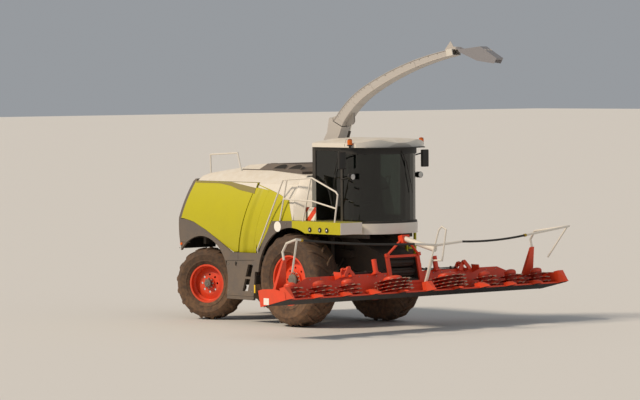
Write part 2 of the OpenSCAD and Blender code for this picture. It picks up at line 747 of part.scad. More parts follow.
// Half of the plan outline, from the rear corner round to the nose
function cab_plan(inset) = concat(
    [[cab_x0 + inset, inset - cab_half_w], [cab_x1, inset - cab_half_w]],
    [for (t = [-80:10:80]) [
        cab_x1 + (cab_nose - inset) * pow(cos(t), 0.8),
        (cab_half_w - inset) * sign(t) * pow(abs(sin(t)), 0.8)]],
    [[cab_x1, cab_half_w - inset], [cab_x0 + inset, cab_half_w - inset]]);

module cab_wall(inset, t, z0, z1) translate([0, 0, z0]) linear_extrude(z1 - z0) difference() {
    polygon(cab_plan(inset));
    polygon(cab_plan(inset + t));
}

sill_z = cab_floor_z + cover_gap;
lintel_z = cab_roof_z - 60;

module cab_frame() color(frame_dark) machine() {
    cab_wall(0, cab_frame_t, cab_base_z, cab_floor_z);
    translate([0, 0, cab_floor_z - 60]) linear_extrude(60) polygon(cab_plan(10));
    cab_wall(0, cab_frame_t, lintel_z, cab_roof_z);
    for (side = [-1, 1]) {
        y = side * (cab_half_w - cab_frame_t / 2);
        box([cab_x0, cab_x0 + 90], [y - cab_frame_t / 2, y + cab_frame_t / 2],
            [cab_floor_z - 1, lintel_z + 1]);
        box([cab_x1 - 20, cab_x1 + 40], [y - cab_frame_t / 2, y + cab_frame_t / 2],
            [cab_floor_z - 1, lintel_z + 1]);
    }
    // Lower halves of the door's hinges
    for (z = door_hinge_zs) {
        box([cab_x0 + 50, door_hinge[0]], [cab_half_w - 1, door_hinge[1] + 12], [z, z + 30]);
        translate([door_hinge[0], door_hinge[1], z]) cylinder(h = 30, r = 14);
        translate([door_hinge[0], door_hinge[1], z + 29]) cylinder(h = 36, r = 6);
    }
    // Rear wall below its window
    box([cab_x0, cab_x0 + cab_frame_t], [-cab_half_w + 10, cab_half_w - 10],
        [cab_floor_z - 1, 2650]);
}

module cab_glass() color(glass_tint) machine() {
    // Windscreen
    intersection() {
        cab_wall(14, glass_t, cab_floor_z, lintel_z);
        box([cab_x1 + 42, cab_x1 + 2000], [-cab_half_w, cab_half_w], [0, 5000]);
    }
    // Right window and rear window
    box([cab_x0 + 90, cab_x1 - 20], [14 - cab_half_w, 14 - cab_half_w + glass_t],
        [cab_floor_z, lintel_z]);
    box([cab_x0 + 14, cab_x0 + 14 + glass_t],
        [cab_frame_t - cab_half_w, cab_half_w - cab_frame_t], [2650, lintel_z]);
}

roof_half_w = cab_half_w + 60;

module cab_roof() color(warm_white) machine() intersection() {
    across(-roof_half_w, roof_half_w) polygon([
        [150, cab_roof_z], [168, cab_roof_z + 80], [264, cab_roof_z + 165],
        [501, cab_roof_z + roof_t], [1450, cab_roof_z + roof_t],
        [1800, cab_roof_z + roof_t - 40], [1880, cab_roof_z + roof_t - 100], [1840, cab_roof_z]
    ]);
    along(100, 1900) intersection() {
        translate([0, cab_roof_z + roof_t - 4250]) circle(4250, $fn = big_fn);
        translate([-roof_half_w, cab_roof_z]) square([2 * roof_half_w, 400]);
    }
    linear_extrude(5000) intersection() {
        translate([-1800, -roof_half_w]) square([3700, 2 * roof_half_w]);
        translate([480, 0]) circle(1400, $fn = big_fn);
    }
}

door_x0 = cab_x0 + 90 + cover_gap;
// Hinge line of the door, as [x, y]
door_hinge = [door_x0 - 3, cab_half_w + 16];
door_hinge_zs = [2400, 3380];

module door_left() color(frame_dark) machine() {
    difference() {
        box([door_x0, cab_x1 - 20 - cover_gap],
            [cab_half_w - cab_frame_t + 5, cab_half_w], [sill_z, lintel_z - cover_gap]);
        box([door_x0 + 60, cab_x1 - 80 - cover_gap],
            [cab_half_w - 100, cab_half_w + 10], [sill_z + 70, lintel_z - 80]);
    }
    for (z = door_hinge_zs) difference() {
        union() {
            translate([door_hinge[0], door_hinge[1], z + 30 + seat_gap]) cylinder(h = 30, r = 14);
            box([door_hinge[0], door_hinge[0] + 50], [cab_half_w - 1, door_hinge[1] + 12],
                [z + 30 + seat_gap, z + 60]);
        }
        translate([door_hinge[0], door_hinge[1], z]) cylinder(h = 100, r = 6 + fit_gap);
    }
}

module seat() color("#4a4a48") machine() {
    box([420, 700], [-220, 220], [cab_floor_z, 2460]);
    box([400, 920], [-260, 260], [2459, 2590]);
    across(-250, 250) polygon([[400, 2560], [520, 2560], [440, 3250], [330, 3250]]);
}

module steering_console() color("#3b3b3a") machine() {
    box([1250, 1400], [-90, 90], [cab_floor_z, 2250]);
    bar([1330, 0, 2240], [1180, 0, 2848], 45);
    translate([1175, 0, 2850]) rotate([0, -15, 0]) rotate_extrude() translate([200, 0]) circle(16);
    translate([1175, 0, 2840]) rotate([0, -15, 0]) cylinder(h = 20, r = 60);
    translate([1175, 0, 2850]) rotate([0, -15, 0]) for (a = [90, 210, 330]) rotate([0, 0, a])
        translate([0, -14, -8]) cube([198, 28, 16]);
}

module cab_lamps() color("#2f2e2d") machine() for (side = [-1, 1]) on_side(side) {
    difference() {
        union() {
            // Arms of the work lamp and the mirror
            bar([1005, 2 - cab_half_w, 3050], [1340, -cab_half_w - 60, 3100], 14);
            bar([1005, 2 - cab_half_w, 3450], [1330, -cab_half_w - 230, 3560], 14);
        }
        box([900, 1040], [-cab_half_w, 0], [3000, 3600]);
    }
    translate([1330, -cab_half_w - 60, 3109]) rotate([0, 90, 0]) cylinder(h = 90, r = 62);
    box([1310, 1350], [-cab_half_w - 360, -cab_half_w - 180], [3270, 3620]);
    // Rotating beacon on a bracket below the roof's edge
    translate([1400, -beacon_y, 3760]) cylinder(h = 110, r = 45);
    box([1370, 1430], [-beacon_y - 40, 100 - roof_half_w], [3670, cab_roof_z]);
    box([1385, 1415], [-beacon_y - 15, 15 - beacon_y], [3690, 3765]);
}

beacon_y = roof_half_w + 52;

// Intake
lift_y = 300;
lift_pin_r = 20;
swing_pin_r = 40;
lift_base = [215, 0, front_axle_z + 20];
lift_eye = [1150, 0, 1085];
lift_eye_pin_r = 14;

header_origin = [2050, 0, 650];
// A point given in the header's own tilted frame, in the machine's frame
function from_header(x, z) = [
    header_origin[0] + x * cos(header_tilt) - z * sin(header_tilt),
    header_origin[2] + x * sin(header_tilt) + z * cos(header_tilt)];

module header_place() machine() translate(header_origin) rotate([0, -header_tilt, 0]) children();

intake_half_w = 400;
intake_top = from_header(-seat_gap, 820);
intake_low = from_header(-seat_gap, 330);

module intake_housing() color(panel_grey) machine() {
    difference() {
        union() {
            difference() {
                across(-intake_half_w, intake_half_w) polygon([
                    [430, 1840], [760, 1870], intake_top, intake_low, [1300, 1130], [430, 1180]
                ]);
                across(intake_wall - intake_half_w, intake_half_w - intake_wall) polygon([
                    [400, 1790], [760, 1845], intake_top + [60, -48], intake_low + [60, 12],
                    [1300, 1155], [400, 1208]
                ]);
            }
            for (side = [-1, 1]) on_side(side) {
                // Swing arms outside the drum housing
                across(-drum_half_w - 38, -drum_half_w - 8) hull() {
                    translate([lift_axis_x, lift_axis_z]) circle(100, $fn = 32);
                    translate([800, 1500]) circle(80, $fn = 32);
                }
                box([720, 880], [-drum_half_w - 38, 1 - intake_half_w], [1430, 1570]);
                // Ears of the lift cylinders
                for (dy = [-50, 34]) across(dy - lift_y, dy - lift_y + 16) polygon([
                    [1030, 1155], [1080, 1050], [1220, 1050], [1290, 1145]]);
            }
        }
        translate([lift_axis_x, 0, lift_axis_z]) rotate([90, 0, 0])
            cylinder(h = 2 * drum_half_w + 8, r = drum_r + 20, center = true, $fn = 96);
        translate([lift_axis_x, 0, lift_axis_z]) rotate([90, 0, 0])
            cylinder(h = 1200, r = swing_pin_r + fit_gap, center = true);
        for (c = [roller_low, roller_up]) translate([c[0], 0, c[1]]) rotate([90, 0, 0])
            cylinder(h = 900, r = roller_pin_r + fit_gap, center = true);
    }
    lift_pair() translate([lift_eye[0], 0, lift_eye[2]]) rotate([90, 0, 0])
        cylinder(h = 100, r = lift_eye_pin_r, center = true);
}

roller_pin_r = 30;
roller_low = [1790, 1140];
roller_up = [1770, 1345];

module feed_roller(centre) color(steel_grey) machine() translate([centre[0], 0, centre[1]])
    rotate([90, 0, 0]) {
        cylinder(h = 2 * (intake_half_w - intake_wall) - 20, r = roller_r - 20, center = true);
        cylinder(h = 2 * intake_half_w, r = roller_pin_r, center = true);
        for (i = [0:7]) rotate([0, 0, 45 * i])
            translate([roller_r - 40, -8, 30 - intake_half_w + intake_wall])
                cube([40, 16, 2 * (intake_half_w - intake_wall) - 60]);
    }

module lift_pair() for (side = [-1, 1]) translate([0, side * lift_y, 0]) children();

lift_len = norm(lift_eye - lift_base);
barrel_l = 520;
lift_rise = atan2(lift_eye[2] - lift_base[2], lift_eye[0] - lift_base[0]);

// Cylinders are drawn along +X from their base pin
module lift_place() machine() lift_pair() translate(lift_base) rotate([0, -lift_rise, 0]) children();

module lift_barrels() color(frame_dark) lift_place() difference() {
    union() {
        rotate([90, 0, 0]) cylinder(h = 54, r = 40, center = true);
        translate([20, 0, 0]) rotate([0, 90, 0]) cylinder(h = barrel_l - 20, r = barrel_r);
    }
    rotate([90, 0, 0]) cylinder(h = 80, r = lift_pin_r + fit_gap, center = true);
    translate([70, 0, 0]) rotate([0, 90, 0]) cylinder(h = barrel_l, r = rod_r + fit_gap);
}

module lift_rods() color("#c9c9c6") lift_place() difference() {
    union() {
        translate([300, 0, 0]) rotate([0, 90, 0]) cylinder(h = lift_len - 320, r = rod_r);
        translate([lift_len, 0, 0]) rotate([90, 0, 0]) cylinder(h = 56, r = 40, center = true);
    }
    translate([lift_len, 0, 0]) rotate([90, 0, 0])
        cylinder(h = 80, r = lift_eye_pin_r + 10, center = true);
}

// Header, drawn in its own frame: x = 0 at the rear wall, z = 0 at the floor's underside
floor_t = 30;
gear_h = 40;
big_rotor_x = 450;
small_rotor_x = 350;

// Snout that divides two rows, from x0 to the tip
module divider(y, x0, top) {
    across(y - 70, y + 70) polygon([[x0, 0], [x0, 40], [x0 + 60, 45], [x0 + 61, 0]]);
    intersection() {
        across(y - 80, y + 80) polygon([
            [x0, 5], [x0, top], [x0 + 140, top], [tip_reach - 30, 30], [tip_reach, 8],
            [tip_reach, 0]]);
        translate([0, y, -10]) linear_extrude(600) polygon([
            [x0, -75], [x0 + 120, -75], [tip_reach, -12], [tip_reach, 12], [x0 + 120, 75],
            [x0, 75]]);
    }
}

post_guard_y = 3400;
guard_top = 840;

module header_base(y0, y1) {
    box([-1, 640], [y0, y1], [0, floor_t]);
    box([0, 14], [y0, y1], [0, wall_h]);
    box([-90, 14], [y0, y1], [wall_h - 100, wall_h]);
    box([-60, 5], [y0, y1], [40, 120]);
}

module gearbox(x, y, r) {
    translate([x, y, floor_t - 1]) cylinder(h = gear_h + 1, r = r);
    translate([x, y, floor_t]) cylinder(h = gear_h + 110, r = rotor_pin_r);
}
rotor_pin_r = 30;

module header_center() color(signal_red) header_place() {
    difference() {
        header_base(-fold_y, fold_y);
        box([-200, 100], [-intake_half_w + 30, intake_half_w - 30], [300, 900]);
        box([-200, 0], [-intake_half_w - 5, intake_half_w + 5], [300, 900]);
    }
    // Frame round the crop opening
    difference() {
        box([0, 40], [-intake_half_w - 60, intake_half_w + 60], [280, 870]);
        box([-200, 100], [-intake_half_w + 30, intake_half_w - 30], [330, 820]);
    }
    for (side = [-1, 1]) on_side(side) {
        gearbox(big_rotor_x, -row_pitch, 170);
        divider(-row_pitch, 580, 60);
        divider(5 - 2 * row_pitch, 500, 120);
        // Upright feed drum beside the crop opening
        box([0, 140], [-drum_y - 75, 75 - drum_y], [wall_h - 25, wall_h]);
        translate([70, -drum_y, wall_h - 1]) cylinder(h = 26, r = 68);
        translate([70, -drum_y, wall_h]) cylinder(h = 280, r = 52);
        // Fold hinge
        for (x = fold_xs) fold_lug(x, 1);
        box([13, fold_xs[1] + fold_lug_w], [60 - fold_y, 150 - fold_y], [wall_h - 50, wall_h]);
        translate([fold_xs[0], -fold_y, fold_z]) rotate([0, 90, 0])
            cylinder(h = fold_xs[1] - fold_xs[0] + 2 * fold_lug_w + 15, r = fold_pin_r);
        // Struts up to the guide bar's carrier
        box([5, 75], [-470, -390], [835, 905]);
        tube_run([[40, -430, 870], [150, -90, 1150]], 25);
    }
    divider(0, 560, 200);
    box(block_x, [-100, 100], [1090, 1250]);
    box([566, 646], [-60, 60], [25, 201]);
}

drum_y = 830;
// Block that carries the guide's arm
block_x = [90, 220];
fold_pin_r = 18;
fold_lug_w = 25;
// Rear faces of the middle section's fold lugs; the wing's lugs stand beside them
fold_xs = [-85, 90];

// Lug on the inner or outer side of the fold, as toward is 1 or -1
module fold_lug(x, toward) hull() {
    translate([x, -fold_y, fold_z]) rotate([0, 90, 0]) cylinder(h = fold_lug_w, r = 40, $fn = 32);
    translate([x, toward > 0 ? 60 - fold_y : -fold_y - 150, wall_h - 10])
        cube([fold_lug_w, 90, 10]);
}

module header_wing(side) color(signal_red) header_place() on_side(side) {
    box([-1, 640], [-tip_half_w - 60, -fold_y - cover_gap], [0, floor_t]);
    // Rear wall, lower beside the outer rotors
    along(0, 14) polygon([[-tip_half_w - 60, 0], [-tip_half_w - 60, low_wall_h],
        [-3100, low_wall_h], [-2600, wall_h], [-fold_y - cover_gap, wall_h],
        [-fold_y - cover_gap, 0]]);
    box([-90, 14], [-2600, -fold_y - cover_gap], [wall_h - 100, wall_h]);
    box([-60, 5], [-tip_half_w - 60, -fold_y - cover_gap], [40, 120]);
    // Tapered guard that carries the guide's outer tube
    intersection() {
        across(-post_guard_y - 150, 150 - post_guard_y) polygon([
            [-10, low_wall_h - 40], [80, low_wall_h - 40], [350, guard_top], [290, guard_top]]);
        along(-100, 400) polygon([[-post_guard_y - 140, low_wall_h - 50],
            [-post_guard_y - 38, guard_top + 10], [38 - post_guard_y, guard_top + 10],
            [140 - post_guard_y, low_wall_h - 50]]);
    }
    for (i = [2.5, 3.5, 4.5]) gearbox(small_rotor_x, -i * row_pitch, 120);
    for (i = [3, 4]) divider(-i * row_pitch, 560, 90);
    divider(-tip_half_w, 560, 260);
    // End plate
    across(-tip_half_w - 80, -tip_half_w - 60) polygon([
        [-90, 0], [-90, low_wall_h], [60, low_wall_h], [400, 270], [700, 150], [700, 0]]);
    // Upright rib
    across(-1900, -1880) polygon([[10, wall_h - 10], [10, wall_h + 80], [220, wall_h + 30],
        [230, wall_h - 60], [10, wall_h - 90]]);
    for (x = fold_xs) difference() {
        fold_lug(x + fold_lug_w + 10, -1);
        translate([x, -fold_y, fold_z]) rotate([0, 90, 0])
            cylinder(h = 100, r = fold_pin_r + fit_gap);
    }
    box([13, fold_xs[1] + 2 * fold_lug_w + 10], [-fold_y - 150, -fold_y - 60],
        [wall_h - 50, wall_h]);
}

// Rotor: layers of hooked teeth on a hub with a domed cap, turned in one piece with its bore
module rotor(r, hub_r, tooth_n, levels) {
    bore_r = rotor_pin_r + fit_gap;
    cap = [for (a = [80:-20:20]) [hub_r * sin(a), 258 + 58 * cos(a)]];
    discs = [for (level = levels, k = [0:3])
        [k == 0 || k == 3 ? hub_r : level[1] * r - 50, level[0] + (k < 2 ? 0 : 10)]];
    rotate_extrude($fn = 96) polygon(concat(
        [[bore_r, 0], [hub_r - 1, 0]], discs, [[hub_r, 258]], cap,
        [[0, 316], [0, 124], [bore_r, 124]]));
    for (level = levels) translate([0, 0, level[0] + 1])
        for (i = [0:tooth_n - 1]) rotate([0, 0, (i + level[2]) * 360 / tooth_n])
            linear_extrude(8) polygon([
                [level[1] * r - 70, -38], [level[1] * r, 22], [level[1] * r - 14, 34],
                [level[1] * r - 70, 30]]);
}

rotor_z = floor_t + gear_h + 4;
// Layers as [height, share of the full radius, turn in teeth]
small_levels = [[4, 1, 0], [85, 0.97, 0.33], [170, 0.94, 0.66]];
big_levels = [[4, 1, 0], [70, 0.98, 0.33], [140, 0.96, 0.66], [210, 0.94, 0]];

module rotor_large(side) color(signal_red) header_place()
    translate([big_rotor_x, side * row_pitch, rotor_z]) rotor(big_rotor_r, 190, 16, big_levels);

module rotor_small(side, rank) color(signal_red) header_place()
    translate([small_rotor_x, side * (2.5 + rank) * row_pitch, rotor_z])
        rotor(small_rotor_r, 120, 10, small_levels);

// Guide bar
bar_center_y = 650;
bar_x = 1145;
bar_z = 905;
// Where the hoses end and the wing's rigid tube starts, on the right and on the left
hose_ends = [3560, 2430];
function hose_end(side) = hose_ends[side < 0 ? 0 : 1];
// Height that a hose gains from the middle bar to its end
function hose_rise(side) = 60 + (hose_end(side) - hose_ends[1]) * 0.11;
// Gap at the slanted ends of the hoses, and their sag
hose_gap = 3.8;
hose_sag = 150;

module guide_center() color(warm_white) header_place() {
    // Carrier arm seated on its bracket, cross bar and centre hoop
    difference() {
        bar([200, 0, 1165], [1022, 0, 790], 55);
        box([100, block_x[1]], [-120, 120], [1000, 1400]);
    }
    tube_run([[bar_x, -bar_center_y, bar_z], [bar_x - 60, 0, bar_z - 40],
        [bar_x, bar_center_y, bar_z]], bar_r);
    bar([1000, 0, 800], [bar_x - 60, 0, bar_z - 40], bar_r);
    difference() {
        bar([587, 0, 180], [880, 0, 620], 34);
        box([500, 720], [-100, 100], [100, 201]);
    }
    tube_run([[880, -40, 570], [1265, -40, 1140], [1345, -20, 1200], [1430, 10, 1120],
        [1140, 40, 540], [890, 0, 590]], 18);
}

module guide_wing(side) color(warm_white) header_place() on_side(side) {
    tube_run([[bar_x, -hose_end(side), bar_z + hose_rise(side)],
        [bar_x + 18, -3717, bar_z + 205], [480, -post_guard_y, 1150],
        [320, -post_guard_y, 1010], [320, -post_guard_y, guard_top + seat_gap]], bar_r);
    bar([bar_x + 8, -3700, bar_z + 200], [640, -3500, 560], bar_r - 4);
}

// Hoses between the rigid bars, sagging on their way from the middle outwards
function hose_route(side) = let (in_y = bar_center_y + hose_gap, out_y = hose_end(side) - hose_gap)
    [for (t = [0, 0.15, 0.35, 0.55, 0.75, 0.9, 1]) [bar_x, -in_y - t * (out_y - in_y),
        bar_z + t * hose_rise(side) - hose_sag * t * (1 - t)]];

module guide_hoses() color("#1d1c1b") header_place() for (side = [-1, 1]) on_side(side)
    tube_run(hose_route(side), bar_r - 2);

// Spout, drawn in its own frame: x = 0 on the turning axis
turret_neck_r = 220;
spout_base = [270, 4170];
spout_a0 = 60;
spout_a1 = 32;
spout_a2 = 11;

module spout_place() machine() translate([-turret_x, 0, 0]) rotate([0, 0, spout_turn]) children();

// Middle line of the arm at a slope of a degrees, first the tight curve and then the slack one
function spout_mid(a) = a > spout_a1
    ? spout_base + spout_r1 * [sin(spout_a0) - sin(a), cos(a) - cos(spout_a0)]
    : spout_mid(spout_a1 + 0.001) + spout_r2 * [sin(spout_a1) - sin(a), cos(a) - cos(spout_a1)];
// Share of the arm's length at a slope of a degrees
function spout_share(a) = a > spout_a1
    ? 0.33 * (spout_a0 - a) / (spout_a0 - spout_a1)
    : 0.33 + 0.67 * (spout_a1 - a) / (spout_a1 - spout_a2);
function spout_side(up, wall) = [for (a = [spout_a0:-3.5:spout_a2])
    let (h = (spout_h0 + (spout_h1 - spout_h0) * spout_share(a)) / 2 - wall)
        spout_mid(a) + up * h * [-sin(a), cos(a)]];
function reversed(list) = [for (i = [len(list) - 1:-1:0]) list[i]];

arm_hinge = spout_base + [-150, 85];

// Ends of the turret's duct, just short of the arm's end face
function duct_end(up, out) = spout_base + up * (spout_h0 / 2 + out) * [-sin(spout_a0), cos(spout_a0)]
    - duct_gap * [cos(spout_a0), sin(spout_a0)];
duct_gap = 12;
cheek_in = spout_w / 2 + 6;
cheek_t = 14;

module spout_turret() color("#bdb5ae") spout_place() {
    translate([0, 0, 3300 + seat_gap]) difference() {
        cylinder(h = 70, r = 290);
        translate([0, 0, -1]) cylinder(h = 72, r = turret_neck_r + seat_gap);
    }
    difference() {
        union() {
            difference() {
                across(-cheek_in - cheek_t, cheek_in + cheek_t) polygon([
                    [-230, 3369], [-215, 3460], [-25, 3870], duct_end(1, 14), duct_end(-1, 14),
                    [285, 3870], [245, 3640], [230, 3369]]);
                across(-cheek_in, cheek_in) polygon([
                    [-205, 3360], [-200, 3460], [-12, 3870], duct_end(1, 2) + [10, 17],
                    duct_end(-1, 2) + [10, 17], [272, 3870], [230, 3640], [205, 3360]]);
            }
            for (side = [-1, 1]) across(side > 0 ? cheek_in : -cheek_in - cheek_t,
                side > 0 ? cheek_in + cheek_t : -cheek_in) hull() {
                    translate(arm_hinge) circle(42, $fn = 32);
                    translate([60, 4000]) circle(20, $fn = 32);
                    translate([190, 4080]) circle(20, $fn = 32);
                }
            // Lower ears of the lift cylinder
            for (dy = [-46, 30]) across(dy, dy + 16) polygon([
                [235, 3700], [400, 3690], [405, 3755], [262, 3830]]);
        }
        translate([arm_hinge[0], 0, arm_hinge[1]]) rotate([90, 0, 0])
            cylinder(h = 600, r = arm_pin_r + fit_gap, center = true);
    }
    translate([spout_cyl_base[0], 0, spout_cyl_base[1]]) rotate([90, 0, 0])
        cylinder(h = 90, r = 12, center = true);
}

arm_pin_r = 18;
spout_cyl_base = [372, 3725];
spout_cyl_eye = [500, 4175];

module spout_arm() color("#bdb5ae") spout_place() {
    last = len(spout_side(1, 0)) - 1;
    upper = spout_side(1, spout_wall);
    lower = spout_side(-1, spout_wall);
    difference() {
        across(-spout_w / 2, spout_w / 2)
            polygon(concat(spout_side(1, 0), reversed(spout_side(-1, 0))));
        across(spout_wall - spout_w / 2, spout_w / 2 - spout_wall)
            polygon(concat([upper[0] - [10, 17]], upper, [upper[last] + [60, 12],
                lower[last] + [60, 12]], reversed(lower), [lower[0] - [10, 17]]));
    }
    // Hinge lugs and pin at the back of the root
    for (side = [-1, 1]) across(side * 150 - 20, side * 150 + 20) hull() {
        translate(arm_hinge) circle(36, $fn = 32);
        translate(upper[0] + [5, 14]) circle(6, $fn = 32);
        translate(upper[1] + [5, 6]) circle(6, $fn = 32);
    }
    translate([arm_hinge[0], 0, arm_hinge[1]]) rotate([90, 0, 0])
        cylinder(h = spout_w + 12 + 2 * cheek_t, r = arm_pin_r, center = true);
    // Ears of the lift cylinder under the arm
    for (dy = [-46, 30]) across(dy, dy + 16) polygon([
        lower[0] + [30, 25], lower[0] + [70, -20], [535, 4160], [560, 4210],
        lower[3] + [-5, 5]]);
    // Fin and hinge block for the flap at the end
    across(-8, 8) polygon([upper[last] + [-250, -6], upper[last] + [-120, 175],
        upper[last] + [-20, 0]]);
    difference() {
        across(-60, 60) polygon([upper[last] + [-80, 0], upper[last] + [-70, 60],
            flap_hinge + [0, 24], flap_hinge + [24, 0], flap_hinge + [0, -24],
            upper[last] + [0, -2]]);
        translate([flap_hinge[0], 0, flap_hinge[1]]) rotate([90, 0, 0])
            cylinder(h = 200, r = flap_hinge_r + fit_gap, center = true);
    }
    // Pin of the cylinder's eye
    translate([spout_cyl_eye[0], 0, spout_cyl_eye[1]]) rotate([90, 0, 0])
        cylinder(h = 90, r = 8, center = true);
}

flap_hinge = spout_mid(spout_a2) + [45, 85];

module spout_flap() color("#bdb5ae") spout_place() {
    difference() {
        across(-flap_w / 2, flap_w / 2) polygon(flap_outline);
        across(spout_wall - flap_w / 2, flap_w / 2 - spout_wall) polygon(flap_inside);
    }
    // Knuckles on the hinge pin
    for (side = [-1, 1]) across(side * 90 - 20, side * 90 + 20) hull() {
        translate(flap_hinge) circle(20, $fn = 32);
        translate(flap_outline[0] + [50, -16]) circle(8, $fn = 32);
    }
    translate([flap_hinge[0], 0, flap_hinge[1]]) rotate([90, 0, 0])
        cylinder(h = 220, r = flap_hinge_r, center = true);
}

flap_hinge_r = 9;
flap_w = 380;
// Outline of the flap from its root over the top, and the hollow that is open below
flap_outline = [[2950, 5702], [3060, 5692], [3450, 5742], [3660, 5600], [spout_tip_r, 5500],
    [3755, 5390], [3380, 5450], [3140, 5560], [2990, 5628]];
flap_inside = [[2900, 5690], [3060, 5680], [3447, 5729], [3652, 5590], [spout_tip_r - 15, 5488],
    [spout_tip_r - 30, 5300], [3380, 5380], [3140, 5480], [2900, 5500]];

// The cylinder is drawn along +X from its base pin
spout_cyl_dir = spout_cyl_eye - spout_cyl_base;
spout_cyl_len = norm(spout_cyl_dir);

module spout_cyl_place() spout_place() translate([spout_cyl_base[0], 0, spout_cyl_base[1]])
    rotate([0, -atan2(spout_cyl_dir[1], spout_cyl_dir[0]), 0]) children();

module spout_barrel() color(frame_dark) spout_cyl_place() difference() {
    union() {
        rotate([90, 0, 0]) cylinder(h = 44, r = 26, center = true);
        rotate([0, 90, 0]) cylinder(h = 300, r = 28);
    }
    rotate([90, 0, 0]) cylinder(h = 80, r = 12 + fit_gap, center = true);
    translate([40, 0, 0]) rotate([0, 90, 0]) cylinder(h = 300, r = 14 + fit_gap);
}

module spout_rod() color("#c9c9c6") spout_cyl_place() difference() {
    union() {
        translate([120, 0, 0]) rotate([0, 90, 0]) cylinder(h = spout_cyl_len - 132, r = 14);
        translate([spout_cyl_len, 0, 0]) rotate([90, 0, 0]) cylinder(h = 44, r = 24, center = true);
    }
    translate([spout_cyl_len, 0, 0]) rotate([90, 0, 0]) cylinder(h = 80, r = 14, center = true);
}

chassis();
front_axle();
rear_axle();
engine_block();
chopper_housing();
lower_panel(-1);  // lower_panel_right
lower_panel(1);  // lower_panel_left
side_front(-1);  // side_front_right
side_front(1);  // side_front_left
hood();
hood_grille();
rear_panel();
platform(-1);  // platform_right
platform(1);  // platform_left
handrail(-1);  // handrail_right
handrail(1);  // handrail_left
cab_frame();
cab_roof();
cab_glass();
seat();
steering_console();
cab_lamps();
knuckle(-1);  // knuckle_right
knuckle(1);  // knuckle_left
front_tyre(-1);  // tyre_front_right
front_tyre(1);  // tyre_front_left
rear_tyre(-1);  // tyre_rear_right
rear_tyre(1);  // tyre_rear_left
front_rim(-1);  // rim_front_right
front_rim(1);  // rim_front_left
rear_rim(-1);  // rim_rear_right
rear_rim(1);  // rim_rear_left
side_flap(-1);  // side_flap_right
side_flap(1);  // side_flap_left
door_left();
intake_housing();
header_center();
header_wing(-1);  // header_wing_right
header_wing(1);  // header_wing_left
rotor_large(-1);  // rotor_large_right
rotor_large(1);  // rotor_large_left
rotor_small(-1, 0);  // rotor_inner_right
rotor_small(-1, 1);  // rotor_middle_right
rotor_small(-1, 2);  // rotor_outer_right
rotor_small(1, 0);  // rotor_inner_left
rotor_small(1, 1);  // rotor_middle_left
rotor_small(1, 2);  // rotor_outer_left
feed_roller(roller_low);  // feed_roller_lower
feed_roller(roller_up);  // feed_roller_upper
guide_center();
guide_wing(-1);  // guide_right
guide_wing(1);  // guide_left
guide_hoses();
spout_turret();
spout_arm();
spout_flap();
spout_barrel();
spout_rod();
lift_barrels();
lift_rods();
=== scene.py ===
"""Looks of a self-propelled forage harvester with a wide maize header.

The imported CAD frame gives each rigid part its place. This script gives every part its finish and
adds the tread, trim, seat cushions, hoses, lamps, light and camera.
"""

import json
import logging
import math
from collections.abc import Callable
from dataclasses import dataclass
from enum import Enum

import bmesh
import bpy
from mathutils import Matrix, Vector

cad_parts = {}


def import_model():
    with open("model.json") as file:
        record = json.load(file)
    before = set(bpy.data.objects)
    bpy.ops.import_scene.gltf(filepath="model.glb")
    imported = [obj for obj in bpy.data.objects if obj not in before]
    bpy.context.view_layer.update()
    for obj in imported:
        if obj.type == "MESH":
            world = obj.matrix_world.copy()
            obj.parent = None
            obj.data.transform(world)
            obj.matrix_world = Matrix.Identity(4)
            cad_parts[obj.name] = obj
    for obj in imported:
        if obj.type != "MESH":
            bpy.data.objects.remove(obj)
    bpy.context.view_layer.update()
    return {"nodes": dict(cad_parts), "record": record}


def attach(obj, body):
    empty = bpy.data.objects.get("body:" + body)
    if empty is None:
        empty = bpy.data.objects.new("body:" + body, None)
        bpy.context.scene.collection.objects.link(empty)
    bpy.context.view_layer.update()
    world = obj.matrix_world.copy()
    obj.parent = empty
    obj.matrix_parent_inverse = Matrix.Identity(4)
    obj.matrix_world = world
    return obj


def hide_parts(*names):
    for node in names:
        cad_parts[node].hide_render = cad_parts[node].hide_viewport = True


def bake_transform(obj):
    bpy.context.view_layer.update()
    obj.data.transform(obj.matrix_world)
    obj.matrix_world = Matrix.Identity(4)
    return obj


log = logging.getLogger("harvester")

# The front axle's x in the row frame, in metres
AXLE_X = 0.488484
# Origin of the header's own frame, and its tilt in the photograph
HEADER_X, HEADER_Z = 2.05, 0.65
HEADER_TILT = math.radians(12.9)
# The spout's turning axis, and how far it is swung in the photograph
SPOUT_X = -0.35
SPOUT_TURN = math.radians(25.0)
# Steering angle of the rear wheels in the photograph
STEER = math.radians(22.0)
# Radius of the body's bulged sides, and the height and depth of its middle
BULGE_R, BULGE_Z, BULGE_IN = 2.300, 2.000, 0.850
# Faces that meet at a smaller angle are shaded as one
SMOOTH = math.radians(35.0)
# Heights between which dust thins out, and what is left of it above them
DUST_BAND, DUST_HIGH = (0.3, 2.6), 0.06
# How far a face looks up where dust starts to lie on it, and where it lies fully
DUST_FACING = (0.35, 1.0)
# Noise that the dust's patches stretch over, and their strength at its two ends
PATCH_NOISE, PATCH_STRENGTH = (0.34, 0.66), (0.35, 1.5)
DUST_ROUGHNESS = 0.9


def machine(x: float, y: float, z: float) -> Vector:
    """Point given from the front axle, in the row frame."""
    return Vector((x + AXLE_X, y, z))


def on_header(x: float, y: float, z: float) -> Vector:
    """Point given in the raised header's own frame, in the row frame."""
    c, s = math.cos(HEADER_TILT), math.sin(HEADER_TILT)
    return machine(HEADER_X + x * c - z * s, y, HEADER_Z + x * s + z * c)


def header_matrix() -> Matrix:
    """Placement of the raised header's frame."""
    return (Matrix.Translation(machine(HEADER_X, 0, HEADER_Z))
            @ Matrix.Rotation(-HEADER_TILT, 4, "Y"))


